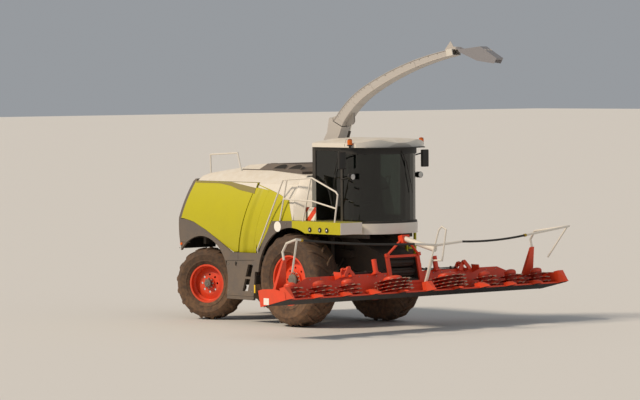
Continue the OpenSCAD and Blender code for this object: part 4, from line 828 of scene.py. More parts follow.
@dataclass
class BodyTrim:
    """One side of the body: seams, hollow flank, cover stripe, latch, bolts, reflector, sign."""

    side: Side
    # Distance of the flat lower skin from the machine's middle
    skin: float = 1.45
    # Rear edge of the hollow flank: its foot along the machine and up, its lean and its gap
    flank_foot: tuple[float, float] = (-1.691, 1.462)
    flank_lean: float = 0.3273
    flank_gap: float = 0.012
    # Width and depth of the flank, where it starts to sink and over what width
    groove_w: float = 0.42
    groove_depth: float = 0.042
    ramp_start: float = 0.085
    ramp_w: float = 0.15
    # Lower edge of the flank, and its upper edge with the fall forwards
    groove_low: float = 1.484
    groove_top: float = 2.845
    groove_fall: float = 0.115
    # The rear cover's top edge
    cover_top: float = 2.9415
    # Middle of the rear arch and the radius that its bolts stand on
    arch: tuple[float, float, float] = (-2.87, 0.9, 0.955)

    def at(self, x: float, out: float, z: float) -> Vector:
        """Point by its distance out of the side skin."""
        return machine(x, self.side.value * (self.skin + out), z)

    def build(self) -> None:
        """Builds the side's trim."""
        self.build_seams()
        self.build_groove()
        self.build_cover_stripe()
        self.build_latch()
        self.build_bolts()
        self.build_reflector()
        if self.side is Side.RIGHT:
            self.build_sign()

    def spot(self, bm: bmesh.types.BMesh, x: float, z: float, radius: float, out: float,
             sides: int = 32) -> None:
        """Adds a round plate on the skin.

        Args:
            bm: Mesh to add to.
            x: Place along the machine.
            z: Height.
            radius: Radius.
            out: Thickness.
            sides: Sides round the plate.
        """
        rod(bm, self.at(x, 0.0, z), self.at(x, out, z), radius, sides)

    def plate(self, bm: bmesh.types.BMesh, outline: list[tuple[float, float]], start: float,
              thick: float) -> None:
        """Adds a flat plate on the skin.

        Args:
            bm: Mesh to add to.
            outline: Corners, as places along the machine and heights.
            start: Distance of its back from the skin.
            thick: Thickness.
        """
        slab(bm, [self.at(x, start, z) for x, z in outline],
             Vector((0, self.side.value * thick, 0)))

    def strip(self, bm: bmesh.types.BMesh, points: list[tuple[float, float]], wide: float,
              out: float) -> None:
        """Adds flat strips between points of the skin.

        Args:
            bm: Mesh to add to.
            points: Places along the machine and heights.
            wide: Width of the strip.
            out: Thickness.
        """
        for (x0, z0), (x1, z1) in zip(points, points[1:]):
            way = Vector((x1 - x0, 0, z1 - z0)).normalized()
            across = Vector((-way.z, 0, way.x)) * wide / 2
            a, b = self.at(x0, 0.0, z0), self.at(x1, 0.0, z1)
            slab(bm, [a - across, b - across, b + across, a + across],
                 Vector((0, self.side.value * out, 0)))

    def build_seams(self) -> None:
        """Lays the joints between the moulded lower panels, and the sill's lip."""
        bm = bmesh.new()
        self.strip(bm, [(-2.006, 1.300), (-1.110, 1.338)], 0.010, 0.0015)
        self.strip(bm, [(-1.640, 1.338), (-1.640, 1.470)], 0.008, 0.0015)
        self.strip(bm, [(-3.545, 1.640), (-3.250, 1.640)], 0.008, 0.0015)
        piece(f"panel_seams_{self.side.word}", bm, "black_moulding", "machine")
        bm = bmesh.new()
        self.strip(bm, [(-2.006, 0.590), (-1.145, 0.590)], 0.026, 0.012)
        self.strip(bm, [(-2.006, 0.515), (-1.142, 0.515)], 0.020, 0.016)
        piece(f"sill_lip_{self.side.word}", bm, "grey_panel", "machine", 0.003)

    def on_bulge(self, x: float, z: float, inset: float) -> Vector:
        """Point on the bulged side, moved inwards."""
        return machine(x, self.side.value * bulge(z, inset), z)

    def on_flank(self, along: float, z: float, inset: float) -> Vector:
        """Point of the bulged side by its distance ahead of the flank's slanting rear edge."""
        foot_x, foot_z = self.flank_foot
        x = foot_x + (z - foot_z) * self.flank_lean + self.flank_gap + along
        return self.on_bulge(x, z, inset)

    def build_groove(self) -> None:
        """Builds the hollow flank between rear cover and front panel, and the wedge over it."""
        def flank(a: float, b: float, level: int) -> Vector:
            """Point across and up the flank, on its outer or inner face."""
            along = self.groove_w * a
            top = self.groove_top - self.groove_fall * along
            z = self.groove_low + (top - self.groove_low) * b
            share = min(max((along - self.ramp_start) / self.ramp_w, 0.0), 1.0)
            inset = 0.002 + self.groove_depth * share * share * (3 - 2 * share)
            return self.on_flank(along, z, 0.0455 if level else inset)

        def wedge(a: float, b: float, level: int) -> Vector:
            """Point of the white wedge over the flank."""
            along = self.groove_w * a
            low = self.groove_top + 0.001 - self.groove_fall * along
            high = 2.8925 - 0.228 * along
            return self.on_flank(along, low + (high - low) * b, 0.0425 if level else 0.0395)

        bm = bmesh.new()
        bent_panel(bm, flank, 28, 24)
        piece(f"groove_{self.side.word}", bm, "lime_enamel", "machine")
        bm = bmesh.new()
        bent_panel(bm, wedge, 12, 2)
        piece(f"front_wedge_{self.side.word}", bm, "white_enamel", "machine")

    def build_cover_stripe(self) -> None:
        """Builds the white wedge at the rear cover's top edge, and below it an olive band of
        painted shade and dust.
        """
        def edge(x: float) -> float:
            """Height of the line between white and green."""
            return 2.9412 - 0.125 * max(x + 2.05, 0.0)

        def wedge(a: float, b: float, level: int) -> Vector:
            """Point of the white wedge."""
            x = -2.04 + 0.822 * a
            z = edge(x) + (self.cover_top - edge(x)) * b
            return self.on_bulge(x, z, -0.0005 - 0.003 * level)

        def seal(a: float, b: float, level: int) -> Vector:
            """Point of the olive band of painted shade, which widens forwards."""
            x = -3.262 + 2.040 * a
            wide = 0.030 + 0.085 * min(max((x + 2.45) / 0.70, 0.0), 1.0)
            return self.on_bulge(x, edge(x) - wide * (1 - b), -0.0005 - 0.004 * level)

        for name, where, finish, slot in (("cover_wedge", wedge, "white_enamel", "white_paint"),
                                          ("cover_seal", seal, "olive_seal", "dark_plastic")):
            bm = bmesh.new()
            bent_panel(bm, where, 24, 3)
            piece(f"{name}_{self.side.word}", bm, finish, f"flap_{self.side.word}")

    def build_latch(self) -> None:
        """Builds the turn latch that holds the lower panel."""
        bm = bmesh.new()
        self.spot(bm, -1.707, 1.262, 0.030, 0.008)
        self.plate(bm, [(-1.722, 1.268), (-1.692, 1.268), (-1.700, 1.205), (-1.714, 1.205)],
                   0.008, 0.012)
        piece(f"panel_latch_{self.side.word}", bm, "black_moulding", "machine",
              0.002)

    def build_bolts(self) -> None:
        """Sets flat bolt heads along the arch and the sill."""
        x, z, radius = self.arch
        places = [(x + radius * math.cos(math.radians(a)), z + radius * math.sin(math.radians(a)))
                  for a in range(20, 141, 20)]
        places += [(-1.95, 1.24), (-1.95, 0.68), (-1.19, 0.68), (-1.16, 1.24), (-0.62, 1.98),
                   (-0.08, 2.13), (-0.52, 2.12)]
        bm = bmesh.new()
        for place in places:
            self.spot(bm, *place, 0.011, 0.006, 12)
        piece(f"panel_bolts_{self.side.word}", bm, "bare_steel", "machine")

    def build_reflector(self) -> None:
        """Builds the yellow side reflector in its black frame."""
        thick = 0.006
        for name, finish, (x0, x1), (z0, z1), start, deep in (
                ("reflector_frame", "black_moulding", (-1.115, -1.065), (0.650, 0.832), 0.0, thick),
                ("reflector", "yellow_reflector", (-1.111, -1.069), (0.656, 0.826), thick, 0.004)):
            bm = bmesh.new()
            self.plate(bm, [(x0, z0), (x1, z0), (x1, z1), (x0, z1)], start, deep)
            piece(f"{name}_{self.side.word}", bm, finish, "machine", 0.001)

    def build_sign(self) -> None:
        """Builds the blank round speed sign on the front wheel's panel."""
        bm = bmesh.new()
        self.spot(bm, -0.345, 2.064, 0.108, 0.003, 48)
        piece("round_sign", bm, "sign_white", "machine", 0.001)


@dataclass
class WarningPlate:
    """Upright plate with slanting red and white stripes, beside the cab's right rear corner."""

    # Lower rear and upper front corner, along the machine and up, and distance from the middle
    low: tuple[float, float] = (0.272, 2.202)
    high: tuple[float, float] = (0.600, 2.475)
    out: float = 1.21
    board_half: float = 0.002
    stripes: int = 2
    # How far the stripes start behind the corner, as a share of their width
    shift: float = 0.13
    # Deck that the bracket stands on
    deck_z: float = 2.190

    def build(self) -> None:
        """Builds the white board, the red stripes cut to its outline, and the bracket."""
        y = -self.out
        x0, z0 = self.low
        x1, z1 = self.high
        bm = bmesh.new()
        block(bm, machine(x0, y - self.board_half, z0), machine(x1, y + self.board_half, z1))
        piece("warning_board", bm, "sign_white", "machine")
        bm = bmesh.new()
        rise = z1 - z0
        wide = (x1 - x0 + rise) / (2 * self.stripes)
        for i in range(self.stripes):
            self.stripe(bm, x0 - rise + (2 * i - self.shift) * wide, wide, y - 0.0032)
        for x, way in ((x0, -1), (x1, 1)):
            bmesh.ops.bisect_plane(bm, geom=bm.verts[:] + bm.edges[:] + bm.faces[:],
                                   plane_co=machine(x, 0, 0), plane_no=Vector((way, 0, 0)),
                                   clear_outer=True)
        made = bmesh.ops.extrude_face_region(bm, geom=bm.faces[:], use_keep_orig=True)["geom"]
        backs = [g for g in made if isinstance(g, bmesh.types.BMVert)]
        bmesh.ops.translate(bm, verts=backs, vec=Vector((0, 0.001, 0)))
        piece("warning_stripes", bm, "red_enamel", "machine")
        bm = bmesh.new()
        for x in (x0 + 0.05, x1 - 0.05):
            rod(bm, machine(x, y, z0), machine(x, y, self.deck_z), 0.010, 10)
        piece("warning_bracket", bm, "frame_coat", "machine")

    def stripe(self, bm: bmesh.types.BMesh, start: float, wide: float, y: float) -> None:
        """Adds one slanting stripe over the plate's whole height.

        Args:
            bm: Mesh to add to.
            start: Place of its lower rear corner.
            wide: Width along the plate.
            y: Place across the machine.
        """
        z0, z1 = self.low[1], self.high[1]
        rise = z1 - z0
        face = bm.faces.new([bm.verts.new(machine(x, y, z)) for x, z in (
            (start, z0), (start + wide, z0), (start + wide + rise, z1), (start + rise, z1))])
        face.normal_update()


@dataclass
class HoodTrim:
    """Vents, pale end, mesh and hinges of the hood's louvre cover, and the panel to the cab."""

    vent_xs: tuple[float, float] = (-1.010, -0.525)
    vent_half: float = 0.190
    # Foot of the cover's slope from the middle and up, its run inwards and its rise
    slope_foot: tuple[float, float] = (0.860, 3.210)
    slope_run: tuple[float, float] = (0.220, 0.120)
    # Direction out of the slope, across and up
    slope_out: tuple[float, float] = (0.479, 0.878)
    # Ends of the panel to the cab along the machine, and its front edge from the middle
    cheek_x: tuple[float, float] = (0.090, 0.458)
    cheek_y: float = 1.192

    def build(self) -> None:
        """Builds the cover's vents and pale end, the cheek, the mesh and the hinges."""
        self.build_vents()
        self.build_pale_end()
        self.build_cheek()
        self.build_mesh()
        self.build_hinges()

    def on_slope(self, side: Side, x: float, up: float, out: float) -> Vector:
        """Point on the cover's slope.

        Args:
            side: Side of the machine.
            x: Place along the machine.
            up: Share of the slope's height, from its foot.
            out: Distance out of the slope.

        Returns:
            The point in the row frame.
        """
        y = self.slope_foot[0] - self.slope_run[0] * up
        z = self.slope_foot[1] + self.slope_run[1] * up
        return machine(x, side.value * (y + out * self.slope_out[0]), z + out * self.slope_out[1])

    def slope_depth(self, side: Side, out: float) -> Vector:
        """Way out of the cover's slope, as long as out."""
        return Vector((0, side.value * out * self.slope_out[0], out * self.slope_out[1]))

    def build_vents(self) -> None:
        """Builds two arched vents on each slope, as black mesh inside a raised lip, painted shade
        of a hollow vent.
        """
        thick = 0.004
        for side in Side:
            dark, lip = bmesh.new(), bmesh.new()
            for x in self.vent_xs:
                arch = [(x + self.vent_half * math.cos(math.radians(a)),
                         0.10 + 0.78 * math.sin(math.radians(a))) for a in range(0, 181, 15)]
                slab(dark, [self.on_slope(side, px, up, 0.001) for px, up in arch],
                     self.slope_depth(side, thick))
                route = [self.on_slope(side, px, up, thick) for px, up in arch]
                tube(lip, route + route[:1], 0.009, 8)
            piece(f"cover_vents_{side.word}", dark, "black_mesh", "machine")
            piece(f"cover_vent_lips_{side.word}", lip, "grey_panel", "machine")

    def build_pale_end(self) -> None:
        """Builds the white rear part of the louvre cover, over its slopes and its end."""
        corners = ((-2.178, 0.0), (-1.620, 0.0), (-1.600, 0.94), (-2.118, 0.655), (-2.178, 0.37))
        bm = bmesh.new()
        for side in Side:
            slab(bm, [self.on_slope(side, x, up, 0.0005) for x, up in corners],
                 self.slope_depth(side, 0.004))
        block(bm, machine(-2.1845, -0.770, 3.190), machine(-2.1805, 0.770, 3.254))
        piece("cover_pale_end", bm, "white_enamel", "machine", 0.001)

    def build_cheek(self) -> None:
        """Builds the white panel from the hood to the cab. The left door opens over its place."""
        back, front = self.cheek_x
        bm = bmesh.new()
        # The panel's foot steps up over the plate beside the cab
        for x0, x1, low in ((back, 0.330, 2.200), (0.330, front, 2.478)):
            def where(a: float, b: float, level: int) -> Vector:
                """Point of the cheek, from the hood's curved side to its front edge."""
                x = x0 + (x1 - x0) * a
                z = low + (3.135 - 0.20 * x - low) * b
                round_y = min(bulge(z) - 0.012, 1.385)
                share = (x - back) / (front - back)
                return machine(x, -(round_y + (self.cheek_y - round_y) * share - 0.006 * level), z)

            bent_panel(bm, where, 6, 14)
        block(bm, machine(0.449, -self.cheek_y + 0.0065, 2.480),
              machine(0.455, -self.cheek_y + 0.110, 3.036))
        piece("hood_cheek", bm, "white_enamel", "machine")

    def build_mesh(self) -> None:
        """Builds the black mesh under the top slots and behind the rear outlet, painted shade of
        the hollows there.
        """
        bm = bmesh.new()
        block(bm, machine(-2.145, -0.600, 3.192), machine(-0.800, 0.600, 3.196))
        block(bm, machine(-3.560, -0.720, 2.240), machine(-3.552, 0.720, 2.840))
        piece("radiator_mesh", bm, "black_mesh", "machine")

    def build_hinges(self) -> None:
        """Builds the cover's hinges and lifting handle."""
        bm = bmesh.new()
        for y in (-0.5, 0.5):
            rod(bm, machine(-0.262, y - 0.05, 3.186), machine(-0.262, y + 0.05, 3.186), 0.012, 12)
        tube(bm, [machine(-2.150, -0.09, 3.284), machine(-2.166, -0.09, 3.306),
                  machine(-2.166, 0.09, 3.306), machine(-2.150, 0.09, 3.284)], 0.008, 8)
        piece("cover_hinges", bm, "frame_coat", "machine")


@dataclass
class CabTrim:
    """Outside and inside of the cab: apron, lamps, beacons, mirrors, wipers, seat and controls."""

    half_w: float = 0.870
    apron_z: tuple[float, float] = (1.932, 2.150)
    # Where the rounded front starts, how far it reaches and how full its curve is
    front_x: float = 1.0
    front_reach: float = 0.78
    front_power: float = 0.8
    # Edges of the side window, along the machine and up
    window_x: tuple[float, float] = (0.195, 0.975)
    window_z: tuple[float, float] = (2.205, 3.632)
    # Lamps in the right skirt, along the machine
    skirt_lamps: tuple[float, ...] = (0.687, 1.000, 1.217)

    def plan(self, out: float, wider: float, samples: int = 24) -> list[tuple[float, float]]:
        """Gives points of the cab's rounded front, from right to left.

        Args:
            out: How far it is moved forwards.
            wider: How far each side is moved outwards.
            samples: Steps along the curve.

        Returns:
            Places along and across the machine.
        """
        points = []
        for i in range(samples + 1):
            t = math.radians(-90 + 180 * i / samples)
            ahead = max(math.cos(t), 0.0) ** self.front_power
            across = math.copysign(abs(math.sin(t)) ** self.front_power, t)
            points.append((self.front_x + (self.front_reach + out) * ahead,
                           (self.half_w + wider) * across))
        return points

    def build(self) -> None:
        """Builds all of the cab's pieces."""
        self.build_apron()
        self.build_bands()
        self.build_lamps()
        self.build_beacons()
        self.build_mirrors()
        self.build_wipers()
        self.build_roof()
        self.build_controls()
        self.build_seat()

    def wall(self, bm: bmesh.types.BMesh, out: float, thick: float, z0: float, z1: float,
             wider: float | None = None) -> None:
        """Adds a curved band round the cab's front.

        Args:
            bm: Mesh to add to.
            out: Distance of its inner face out of the cab's wall.
            thick: Thickness at the front.
            z0: Lower edge.
            z1: Upper edge.
            wider: How far its ends are moved outwards, if not by out and thick too.
        """
        if wider is None:
            ends = (out, out + thick)
        else:
            ends = (wider, wider + 0.004)
        inner, outer = self.plan(out, ends[0]), self.plan(out + thick, ends[1])
        corners = [[bm.verts.new(machine(x, y, z)) for x, y in row]
                   for row, z in ((inner, z0), (outer, z0), (outer, z1), (inner, z1))]
        loops = [[bm.edges.new(pair) for pair in zip(row, row[1:])] for row in corners]
        for a, b in zip(loops, loops[1:] + loops[:1]):
            bmesh.ops.bridge_loops(bm, edges=a + b)
        for end in (0, -1):
            bm.faces.new([row[end] for row in corners])

    def build_apron(self) -> None:
        """Builds the white moulded apron below the windscreen with its end strips, and its seal."""
        low, high = self.apron_z
        bm = bmesh.new()
        self.wall(bm, 0.002, 0.022, low, high)
        for side in Side:
            y = side.value * (self.half_w + 0.013)
            block(bm, machine(self.front_x, y - 0.011, low),
                  machine(self.front_x, y + 0.011, low) + Vector((0.001, 0, high - low)))
        piece("cab_apron", bm, "white_enamel", "machine", 0.004)
        bm = bmesh.new()
        self.wall(bm, 0.002, 0.012, high + 0.004, 2.186)
        piece("cab_apron_seal", bm, "black_moulding", "machine", 0.002)

    def build_bands(self) -> None:
        """Builds the black band over the windscreen and the right window's seals."""
        bm = bmesh.new()
        self.wall(bm, 0.001, 0.008, 3.560, 3.696)
        piece("cab_header_band", bm, "black_moulding", "machine", 0.002)
        bm = bmesh.new()
        y = self.half_w - 0.010
        for z in self.window_z:
            tube(bm, [machine(0.19, -y, z), machine(0.98, -y, z)], 0.009, 8)
        for x in self.window_x:
            tube(bm, [machine(x, -y, z) for z in self.window_z], 0.009, 8)
        piece("window_seals", bm, "hose_rubber", "machine")

    def build_lamps(self) -> None:
        """Builds reflectors, lenses and rims of the work, roof and skirt lamps."""
        meshes = lens, bowl, rim = bmesh.new(), bmesh.new(), bmesh.new()
        for side in Side:
            s = side.value
            self.lamp(meshes, machine(1.421, s * 0.930, 3.109), Vector((1, 0, 0)), 0.058)
            for across, x in ((0.70, 1.390), (0.47, 1.560)):
                self.lamp(meshes, machine(x + 0.012, s * across, 3.655),
                          Vector((1, s * 0.15, 0)).normalized(), 0.040)
            self.lamp(meshes, machine(0.163, s * 0.760, 3.655), Vector((-1, 0, 0)), 0.036)
        for x in self.skirt_lamps:
            rod(rim, machine(x, -1.4582, 2.030), machine(x, -1.4610, 2.030), 0.052, 28)
            self.lamp(meshes, machine(x + 0.006, -1.4612, 2.028), Vector((0, -1, 0)), 0.024)
        piece("lamp_lenses", lens, "lamp_lens", "machine")
        piece("lamp_bowls", bowl, "chromed_rod", "machine")
        piece("lamp_rims", rim, "black_moulding", "machine")

    def lamp(self, meshes: tuple[bmesh.types.BMesh, bmesh.types.BMesh, bmesh.types.BMesh],
             centre: Vector, way: Vector, radius: float) -> None:
        """Adds one round lamp: bowl, domed lens and rim.

        Args:
            meshes: Meshes of the lenses, the bowls and the rims.
            centre: Middle of the lamp's face.
            way: Direction that it shines in.
            radius: Radius of the lens.
        """
        lens, bowl, rim = meshes
        place = Matrix.Translation(centre) @ way.to_track_quat("Z", "Y").to_matrix().to_4x4()
        lathe(bowl, [(0.0, 0.001), (radius * 0.9, 0.001), (radius, 0.010), (radius * 0.97, 0.011),
                     (radius * 0.85, 0.004), (0.0, 0.0025)], place, 28)
        lathe(lens, [(0.0, 0.006), (radius * 0.97, 0.0105), (radius * 0.97, 0.013),
                     (radius * 0.7, 0.017), (0.0, 0.020)], place, 28)
        lathe(rim, [(radius, -0.004), (radius * 1.1, -0.004), (radius * 1.1, 0.014),
                    (radius * 1.0, 0.015), (radius * 0.975, 0.012)], place, 28)

    def build_beacons(self) -> None:
        """Builds the two amber rotating beacons over their stubs."""
        for side in Side:
            bm = bmesh.new()
            place = Matrix.Translation(machine(1.400, side.value * 0.982, 3.760))
            lathe(bm, [(0.0, -0.0005), (0.049, -0.0005), (0.051, 0.020), (0.050, 0.085),
                       (0.040, 0.110), (0.018, 0.120), (0.0, 0.121)], place, 32)
            piece(f"beacon_lens_{side.word}", bm, "amber_lens", "machine")
            bm = bmesh.new()
            lathe(bm, [(0.0, -0.030), (0.030, -0.030), (0.054, -0.018), (0.054, -0.002),
                       (0.0, -0.002)], place, 32)
            piece(f"beacon_base_{side.word}", bm, "black_moulding", "machine",
                  0.002)

    def build_mirrors(self) -> None:
        """Builds the mirror glass on the rear face and the rounded shell in front."""
        for side in Side:
            for name, finish, slot, (x0, x1), (near, far), (z0, z1), bevel in (
                    ("mirror_glass", "mirror_silver", "rod_chrome",
                     (1.3065, 1.3095), (1.066, 1.214), (3.290, 3.600), 0.0),
                    ("mirror_shell", "black_moulding", "dark_plastic",
                     (1.3105, 1.366), (1.046, 1.234), (3.266, 3.624), 0.016)):
                y0, y1 = side.span(near, far)
                bm = bmesh.new()
                block(bm, machine(x0, y0, z0), machine(x1, y1, z1))
                piece(f"{name}_{side.word}", bm, finish, "machine", bevel)

    def build_wipers(self) -> None:
        """Builds the windscreen's wiper and the right window's wiper."""
        bm = bmesh.new()
        tube(bm, [machine(1.792, 0.10, 3.600), machine(1.800, 0.22, 3.350),
                  machine(1.778, 0.340, 2.980)], 0.009, 8)
        tube(bm, [machine(1.794, 0.215, 3.420), machine(1.772, 0.395, 2.760)], 0.007, 6)
        rod(bm, machine(1.775, 0.10, 3.600), machine(1.806, 0.10, 3.600), 0.022, 16)
        y = -self.half_w - 0.002
        tube(bm, [machine(0.93, y - 0.006, 3.560), machine(0.86, y - 0.022, 3.300),
                  machine(0.80, y - 0.018, 3.150)], 0.008, 8)
        tube(bm, [machine(0.895, y - 0.010, 3.480), machine(0.770, y - 0.010, 2.900)], 0.006, 6)
        rod(bm, machine(0.93, y + 0.012, 3.560), machine(0.93, y - 0.020, 3.560), 0.020, 16)
        piece("wipers", bm, "black_moulding", "machine")

    def build_roof(self) -> None:
        """Builds the visor, its dark lining and the seam up the roof's right edge."""
        bm = bmesh.new()
        block(bm, machine(1.05, -0.80, 3.676), machine(1.72, 0.80, 3.699))
        piece("roof_lining", bm, "black_moulding", "machine", 0.006)
        bm = bmesh.new()
        self.wall(bm, 0.012, 0.228, 3.682, 3.699, 0.050)
        piece("roof_visor", bm, "black_moulding", "machine", 0.004)
        bm = bmesh.new()
        tube(bm, [machine(1.18, -0.926, 3.712), machine(1.18, -0.932, 3.760),
                  machine(1.20, -0.90, 3.872)], 0.004, 6)
        piece("roof_seam", bm, "hose_rubber", "machine")

    def build_controls(self) -> None:
        """Builds the armrest with its lever, the pedals and the screen on its arm."""
        bm = bmesh.new()
        # Armrest, its post and the lever with its knob
        block(bm, machine(0.50, -0.420, 2.740), machine(0.98, -0.300, 2.830))
        block(bm, machine(0.62, -0.400, 2.206), machine(0.74, -0.320, 2.742))
        rod(bm, machine(0.93, -0.360, 2.828), machine(0.945, -0.360, 2.930), 0.016, 14)
        bmesh.ops.create_icosphere(bm, subdivisions=2, radius=0.036,
                                   matrix=Matrix.Translation(machine(0.948, -0.360, 2.955)))
        # Foot plate and the two pedals
        block(bm, machine(1.395, -0.085, 2.215), machine(1.46, 0.085, 2.244))
        for y in (0.13, 0.25):
            rod(bm, machine(1.36, y, 2.206), machine(1.30, y, 2.300), 0.010, 10)
            block(bm, machine(1.268, y - 0.032, 2.292), machine(1.312, y + 0.032, 2.312))
        piece("cab_controls", bm, "black_moulding", "machine", 0.006)
        bm = bmesh.new()
        block(bm, machine(1.000, -0.560, 2.900), machine(1.030, -0.330, 3.080))
        rod(bm, machine(1.015, -0.440, 2.904), machine(0.90, -0.400, 2.826), 0.012, 10)
        piece("cab_screen", bm, "black_moulding", "machine", 0.005)
        bm = bmesh.new()
        block(bm, machine(0.998, -0.548, 2.912), machine(0.9995, -0.342, 3.068))
        piece("cab_screen_glass", bm, "screen_glass", "machine")

    def build_seat(self) -> None:
        """Builds the driver's seat as sewn cushions on a sprung base."""
        lean = math.radians(-7)
        for name, low, high, turn in (
                ("seat_cushion", (0.405, -0.255, 2.500), (0.915, 0.255, 2.588), 0.0),
                ("seat_back", (0.395, -0.250, 2.592), (0.475, 0.250, 3.060), lean),
                ("seat_headrest", (0.375, -0.130, 3.082), (0.440, 0.130, 3.236), lean)):
            bm = bmesh.new()
            self.sew(bm, machine(*low), machine(*high))
            if turn:
                bmesh.ops.rotate(bm, verts=bm.verts[:], cent=machine(0.40, 0, 2.58),
                                 matrix=Matrix.Rotation(turn, 3, "Y"))
            cushion = piece(name, bm, "seat_cloth", "machine")
            rounding = cushion.modifiers.new("rounding", "SUBSURF")
            rounding.levels = rounding.render_levels = 2
            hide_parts("seat")
        bm = bmesh.new()
        block(bm, machine(0.430, -0.210, 2.196), machine(0.880, 0.210, 2.230))
        block(bm, machine(0.430, -0.210, 2.440), machine(0.880, 0.210, 2.496))
        # Folds of the bellows between the base's two plates
        for i in range(7):
            z = 2.232 + i * 0.030
            fold = 0.012 * (i % 2)
            block(bm, machine(0.450 + fold, -0.195 + fold, z),
                  machine(0.860 - fold, 0.195 - fold, z + 0.029))
        base = piece("seat_base", bm, "black_moulding", "machine", 0.004)
        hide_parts("seat")

    def sew(self, bm: bmesh.types.BMesh, low: Vector, high: Vector) -> None:
        """Adds one cushion, crowned in the middle and pulled in along two sewn channels.

        Args:
            bm: Mesh to add to.
            low: Lowest corner.
            high: Highest corner.
        """
        block(bm, low, high)
        bmesh.ops.subdivide_edges(bm, edges=bm.edges[:], cuts=5, use_grid_fill=True)
        centre = (low + high) / 2
        half = (high - low) / 2
        thin = min(range(3), key=lambda i: half[i])
        for vert in bm.verts:
            share = Vector([(vert.co[i] - centre[i]) / half[i] for i in range(3)])
            edge = max(abs(share[i]) for i in range(3) if i != thin)
            crown = 1.0 - 0.55 * edge ** 4
            channel = 0.10 * math.exp(-((abs(share.y) - 0.55) / 0.10) ** 2)
            vert.co[thin] = centre[thin] + half[thin] * share[thin] * (crown - channel)


@dataclass
class Rotor:
    """Hardened teeth tips and the domed cap of one header rotor."""

    name: str
    x: float
    y: float
    radius: float
    hub: float
    teeth: int
    # Each layer's height, its reach as a share of the radius and its turn as a share of a tooth
    levels: tuple[tuple[float, float, float], ...]
    base_z: float = 0.074
    # Foot, equator and dome of the cap, from the rotor's base
    cap_foot: float = 0.225
    cap_middle: float = 0.260
    cap_rise: float = 0.0585
    tip_h: float = 0.011

    def build(self) -> None:
        """Builds the tips and the cap."""
        body = f"rotor_{self.name}"
        tips = bmesh.new()
        for height, share, turn in self.levels:
            for i in range(self.teeth):
                angle = (i + turn) * math.tau / self.teeth
                self.add_tip(tips, angle, share * self.radius, self.base_z + height)
        piece(f"tooth_tips_{self.name}", tips, "tooth_white", body)
        rim = self.hub + 0.002
        middle, foot = self.base_z + self.cap_middle, self.base_z + self.cap_foot
        turns = [math.radians(a) for a in (15, 30, 45, 60, 72, 82, 90)]
        dome = [(rim * math.sin(a), middle + self.cap_rise * math.cos(a)) for a in turns]
        cap = bmesh.new()
        lathe(cap, [(0.0, middle + self.cap_rise)] + dome + [(rim, foot), (0.0, foot)],
              header_matrix() @ Matrix.Translation((self.x, self.y, 0.0)), 40)
        piece(f"rotor_cap_{self.name}", cap, "red_enamel", body)

    def add_tip(self, bm: bmesh.types.BMesh, angle: float, reach: float, z: float) -> None:
        """Adds one tooth's hardened tip.

        Args:
            bm: Mesh to add to.
            angle: Angle of the tooth.
            reach: Radius of its point.
            z: Height of its layer in the header.
        """
        c, s = math.cos(angle), math.sin(angle)
        outline = [(reach - 0.052, -0.024), (reach + 0.001, 0.020), (reach - 0.012, 0.035),
                   (reach - 0.050, 0.026)]
        points = [on_header(self.x + c * r - s * t, self.y + s * r + c * t, z - 0.0005)
                  for r, t in outline]
        slab(bm, points, on_header(0, 0, self.tip_h) - on_header(0, 0, 0.0))


ROW_PITCH = 0.750
SMALL_LEVELS = ((0.004, 1.0, 0.0), (0.085, 0.97, 0.33), (0.170, 0.94, 0.66))
LARGE_LEVELS = ((0.004, 1.0, 0.0), (0.070, 0.98, 0.33), (0.140, 0.96, 0.66), (0.210, 0.94, 0.0))


def rotors() -> list[Rotor]:
    """The header's eight rotors: two large ones for two rows each and six small ones."""
    made = []
    for side in Side:
        made.append(Rotor(f"large_{side.word}", x=0.450, y=side.value * ROW_PITCH, radius=0.400,
                          hub=0.190, teeth=16, levels=LARGE_LEVELS))
        for rank, word in enumerate(("inner", "middle", "outer")):
            made.append(Rotor(f"{word}_{side.word}", x=0.350,
                              y=side.value * (2.5 + rank) * ROW_PITCH, radius=0.280, hub=0.120,
                              teeth=10, levels=SMALL_LEVELS))
    return made


